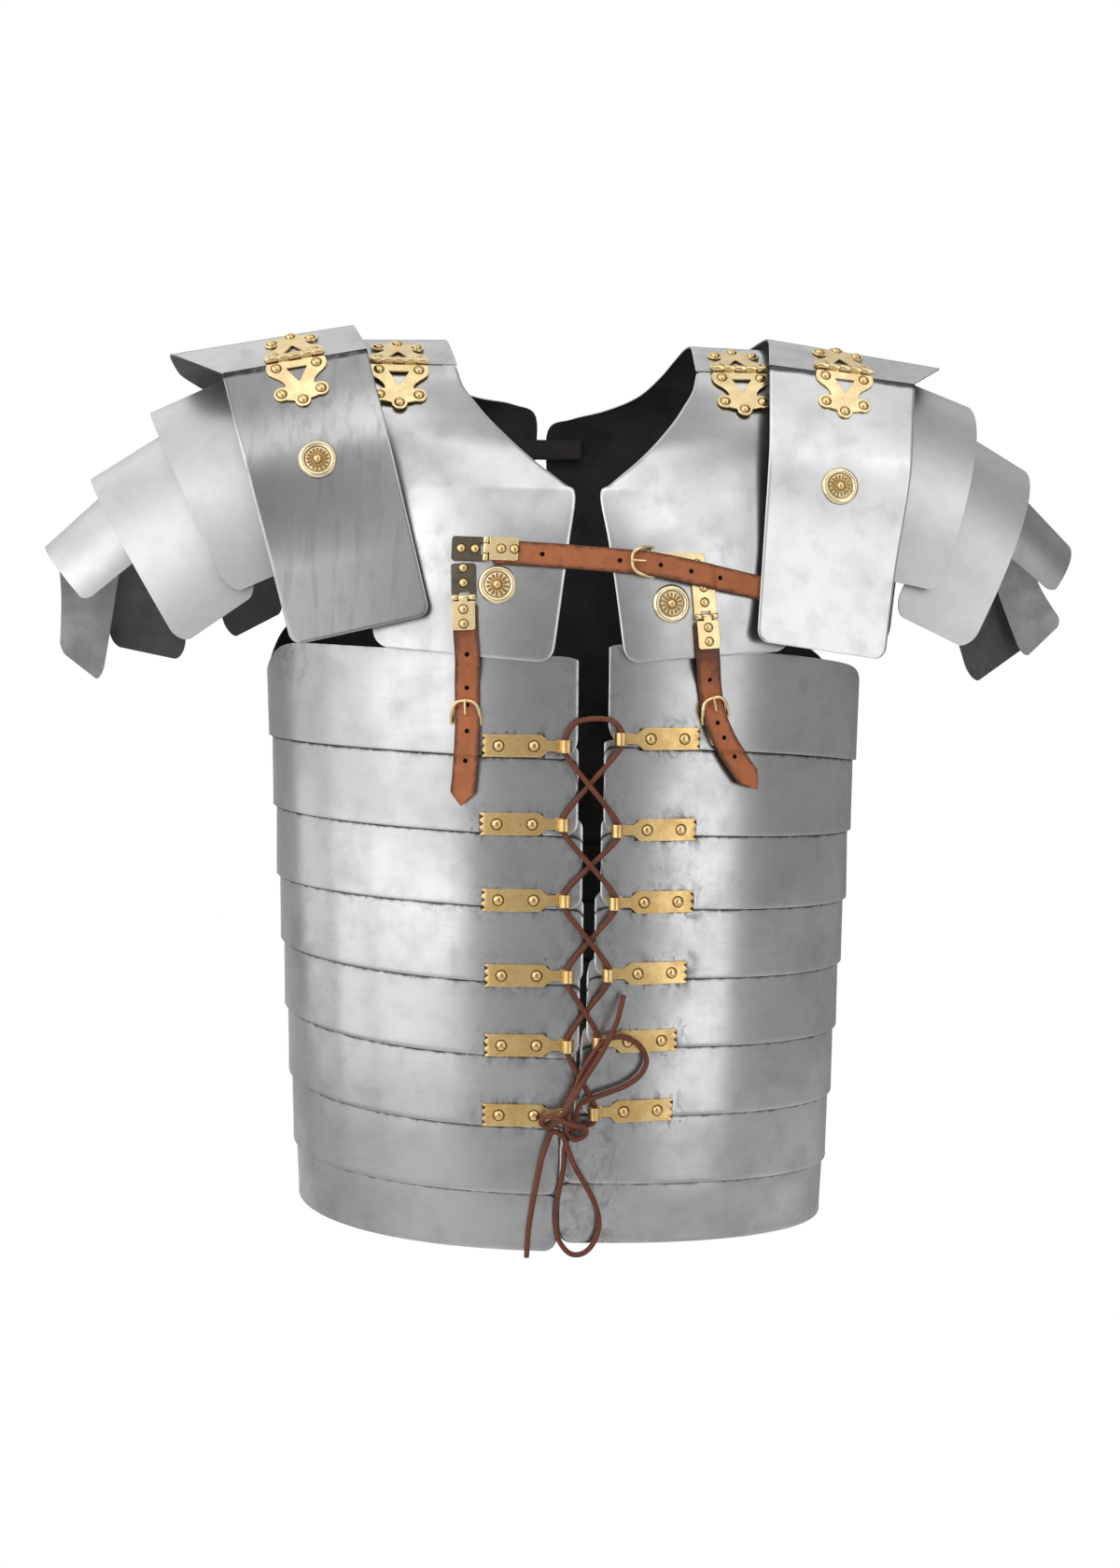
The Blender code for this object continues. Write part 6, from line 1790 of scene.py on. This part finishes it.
FITTING_RIVETS = {
    "collar": ((-0.0155, -0.0068), (0.0098, 0.0180)),
    "right": ((-0.0185, -0.0092), (0.0075, 0.0165)),
    "left": ((-0.0185, -0.0090), (0.0070, 0.0158)),
}
for name, row in STRAP_ROWS.items():
    frame_here = strap_frame(*row["fitting"], row["fitting_way"])
    half = FITTING_WIDTH / 2
    lift = lift_above(frame_here, ((-half, half), (-FIXED_LENGTH - 0.001, MOVING_LENGTH)))
    here, across, along, out = frame_here
    m = frame_matrix(here + out * lift, across, along, out)
    parts = Parts()
    barrel = (FITTING_TOP + BRASS - GAP) / 2
    slot_half = half * 0.42
    fixed = round_corners((
        (-half, -FIXED_LENGTH - 0.001, 0.0022), (half, -FIXED_LENGTH - 0.001, 0.0022), (half, -0.0006, 0), (slot_half, -0.0006, 0),
        (slot_half, -0.0034, 0), (-slot_half, -0.0034, 0), (-slot_half, -0.0006, 0), (-half, -0.0006, 0),
    ), 0.0022)
    # The collar's and right fittings' fixed plates take slot 3, the painted dark reflection.
    parts.add(cut_plate([fixed], GAP, GAP + BRASS), m, 0 if name == "left" else 3)
    moving = round_corners((
        (-half * 0.94, 0.0026, 0.0006), (-slot_half * 0.8, 0.0026, 0), (-slot_half * 0.8, 0.0003, 0), (slot_half * 0.8, 0.0003, 0),
        (slot_half * 0.8, 0.0026, 0), (half * 0.94, 0.0026, 0.0006), (half * 0.94, MOVING_LENGTH, 0.0020), (-half * 0.94, MOVING_LENGTH, 0.0020),
    ), 0.001)
    parts.add(cut_plate([moving], FITTING_TOP, FITTING_TOP + BRASS), m)
    raise_barrel = m @ Matrix.Translation((0, 0, GAP + barrel))
    for a, b in ((-half * 0.96, -slot_half - 0.0002), (-slot_half + 0.0002, slot_half - 0.0002), (slot_half + 0.0002, half * 0.96)):
        parts.add(barrel_mesh(barrel, a, b), raise_barrel)
    fixed_rivets, moving_rivets = FITTING_RIVETS[name]
    for d in fixed_rivets:
        add_rivet(parts, m @ Matrix.Translation((0, d, GAP + BRASS)), 0.0027, 0.0017)
    for d in moving_rivets:
        add_rivet(parts, m @ Matrix.Translation((0, d, FITTING_TOP + BRASS)), 0.0027, 0.0017)
    parts.place(f"strap_fitting_{name}", "brass", BRASS_FINISH, BRASS_RIVET, BRASS_RIVET_SHADOW, BRASS_DARK_REFLECTION)

    plate_length, plate_width = row["plate"]
    m, rest = buckle_rest(*row["buckle"], row["buckle_way"], plate_length, plate_width)
    point, length = strap_piece(name, row["route"], row["tip"], rest)
    parts = Parts()
    wire = []
    for k in range(49):
        t = math.pi * k / 48
        wire.append(Vector((
            BUCKLE_HALF * 0.88 * signed_power(math.cos(t), 0.62), -BUCKLE_REACH * math.sin(t) ** 0.85,
            mix(BUCKLE_BAR, BUCKLE_ARC, 1 - (1 - math.sin(t)) ** 2.5),
        )))
    wire += [Vector((-BUCKLE_HALF * 0.88 * t, 0.0, BUCKLE_BAR)) for t in (0.6, 0.2, -0.2, -0.6)]
    parts.add(tube_mesh(wire, BUCKLE_WIRE, cyclic=True), m)
    box = [
        (-plate_width / 2, -0.0003, 0.0), (plate_width / 2, -0.0003, 0.0),
        (plate_width / 2, plate_length, 0.0028), (-plate_width / 2, plate_length, 0.0028),
    ]
    parts.add(cut_plate([round_corners(box, 0.002)], GAP, GAP + BRASS), m)
    spots = (0.020, 0.0285) if name == "collar" else (0.0108,)
    for d in spots:
        add_rivet(parts, m @ Matrix.Translation((0, d, GAP + BRASS)), 0.0023, 0.0011)
    # The tongue comes up through a hole and lies over the arc.
    tongue = [(0.0, -BUCKLE_REACH * 0.42, BUCKLE_ARC + 0.0006), (0.0, -BUCKLE_REACH * 0.7, BUCKLE_ARC + 0.0013),
              (0.0, -BUCKLE_REACH * 0.94, BUCKLE_ARC + 0.0018), (0.0, -BUCKLE_REACH * 1.06, BUCKLE_ARC + 0.0014)]
    parts.add(tube_mesh(tongue, 0.0008), m)
    parts.place(f"buckle_{name}", "brass", BRASS_FINISH, BRASS_RIVET, BRASS_RIVET_SHADOW, angle=50)

plate(
    "back_strap", back_strap_point, [k / 40 for k in range(41)], [k / 8 for k in range(9)], LEATHER_DARK, LEATHER_DARK,
    slot="leather", thickness=0.0020, outward=lambda p: Vector((0, 1, 0)), bevel=0.0005, name="back_strap_leather",
    edge=lambda u, v: abs(v - 0.5) * 2,
)


# ---------------------------------------------------------------- room
def area_light(name, swing, distance, height, width, tall, radiance, aim=(0.0, 0.0, -0.35), colour=(1.0, 1.0, 1.0)):
    """A soft box: swing is measured from straight in front, towards +X."""
    light = bpy.data.lights.new(name, "AREA")
    light.shape = "RECTANGLE"
    light.size, light.size_y = width, tall
    light.energy = radiance * math.pi * width * tall
    light.color = colour
    made = bpy.data.objects.new(name, light)
    scene.collection.objects.link(made)
    swing = math.radians(swing)
    place = Vector((math.sin(swing) * distance, -math.cos(swing) * distance, height))
    made.location = place
    made.rotation_euler = (Vector(aim) - place).to_track_quat("-Z", "Y").to_euler()
    return made


area_light("soft_left", -41, 2.0, 0.10, 1.42, 2.2, 1.12)
area_light("soft_left_far", -72, 2.0, 0.10, 0.84, 2.2, 0.86)
area_light("soft_left_side", -100, 2.0, 0.10, 1.06, 2.2, 0.48)
area_light("soft_right", 34, 1.9, 0.06, 0.86, 2.3, 1.10)
area_light("soft_top", 10, 1.1, 1.30, 1.4, 0.9, 0.95, aim=(0.0, 0.0, -0.1))

world = bpy.data.worlds.new("room")
scene.world = world
world.use_nodes = True
tree = world.node_tree
tree.nodes.clear()
output = tree.nodes.new("ShaderNodeOutputWorld")
lit = tree.nodes.new("ShaderNodeBackground")
seen = tree.nodes.new("ShaderNodeBackground")
seen.inputs["Color"].default_value = (1.0, 1.0, 1.0, 1.0)
seen.inputs["Strength"].default_value = 1.0
way = tree.nodes.new("ShaderNodeTexCoord")
split = tree.nodes.new("ShaderNodeSeparateXYZ")
tree.links.new(way.outputs["Generated"], split.inputs[0])


def world_range(value, low, high, to_low, to_high):
    node = tree.nodes.new("ShaderNodeMapRange")
    node.interpolation_type = "SMOOTHSTEP"
    tree.links.new(value, node.inputs["Value"])
    for name, number in (("From Min", low), ("From Max", high), ("To Min", to_low), ("To Max", to_high)):
        node.inputs[name].default_value = number
    return node.outputs["Result"]


def world_math(operation, a, b):
    node = tree.nodes.new("ShaderNodeMath")
    node.operation = operation
    tree.links.new(a, node.inputs[0])
    tree.links.new(b, node.inputs[1])
    return node.outputs[0]


# The room: dim all round, paler overhead and most of all up on the left.
level = world_range(split.outputs["X"], -1.0, 1.0, 0.47, 0.25)
high_up = world_math("MULTIPLY", world_range(split.outputs["Z"], 0.12, 0.62, 0.0, 1.0), world_range(split.outputs["X"], -0.65, 0.65, 0.62, 0.15))
level = world_math("ADD", level, high_up)
high_back = world_math("MULTIPLY", world_range(split.outputs["Z"], 0.20, 0.62, 0.0, 0.34), world_range(split.outputs["Y"], 0.0, 0.5, 0.0, 1.0))
level = world_math("ADD", world_math("ADD", level, high_back), world_range(split.outputs["Y"], 0.93, 0.99, 0.0, 0.20))
level = world_math("ADD", level, world_range(split.outputs["X"], 0.50, 0.95, 0.0, 0.14))
low_down = world_math("MULTIPLY", world_range(split.outputs["Z"], -0.60, 0.0, 1.45, 0.0), world_range(split.outputs["X"], -0.95, -0.35, 0.10, 1.0))
level = world_math("MULTIPLY", level, world_math("ADD", low_down, world_range(split.outputs["Z"], 2.0, 3.0, 1.0, 1.0)))
tree.links.new(level, lit.inputs["Strength"])
path_node = tree.nodes.new("ShaderNodeLightPath")
choose = tree.nodes.new("ShaderNodeMixShader")
tree.links.new(path_node.outputs["Is Camera Ray"], choose.inputs[0])
tree.links.new(lit.outputs[0], choose.inputs[1])
tree.links.new(seen.outputs[0], choose.inputs[2])
tree.links.new(choose.outputs[0], output.inputs["Surface"])

# A plain pale floor, well below the armour, which hangs at chest height.
floor_mesh = bpy.data.meshes.new("floor")
bm = bmesh.new()
bmesh.ops.create_circle(bm, cap_ends=True, segments=96, radius=0.90)
bm.to_mesh(floor_mesh)
bm.free()
floor = bpy.data.objects.new("floor", floor_mesh)
floor.location = (0.0, 0.0, -1.50)
scene.collection.objects.link(floor)
pale = Finish("floor_paint", 0.0)
floor_mesh.materials.append(pale.finish(
    pale.blend(pale.spread(pale.noise(3.0, 2.0), 0.3, 0.7), (0.80, 0.80, 0.79), (0.84, 0.84, 0.83)), 0.7,
))
scene.view_settings.view_transform = "Standard"
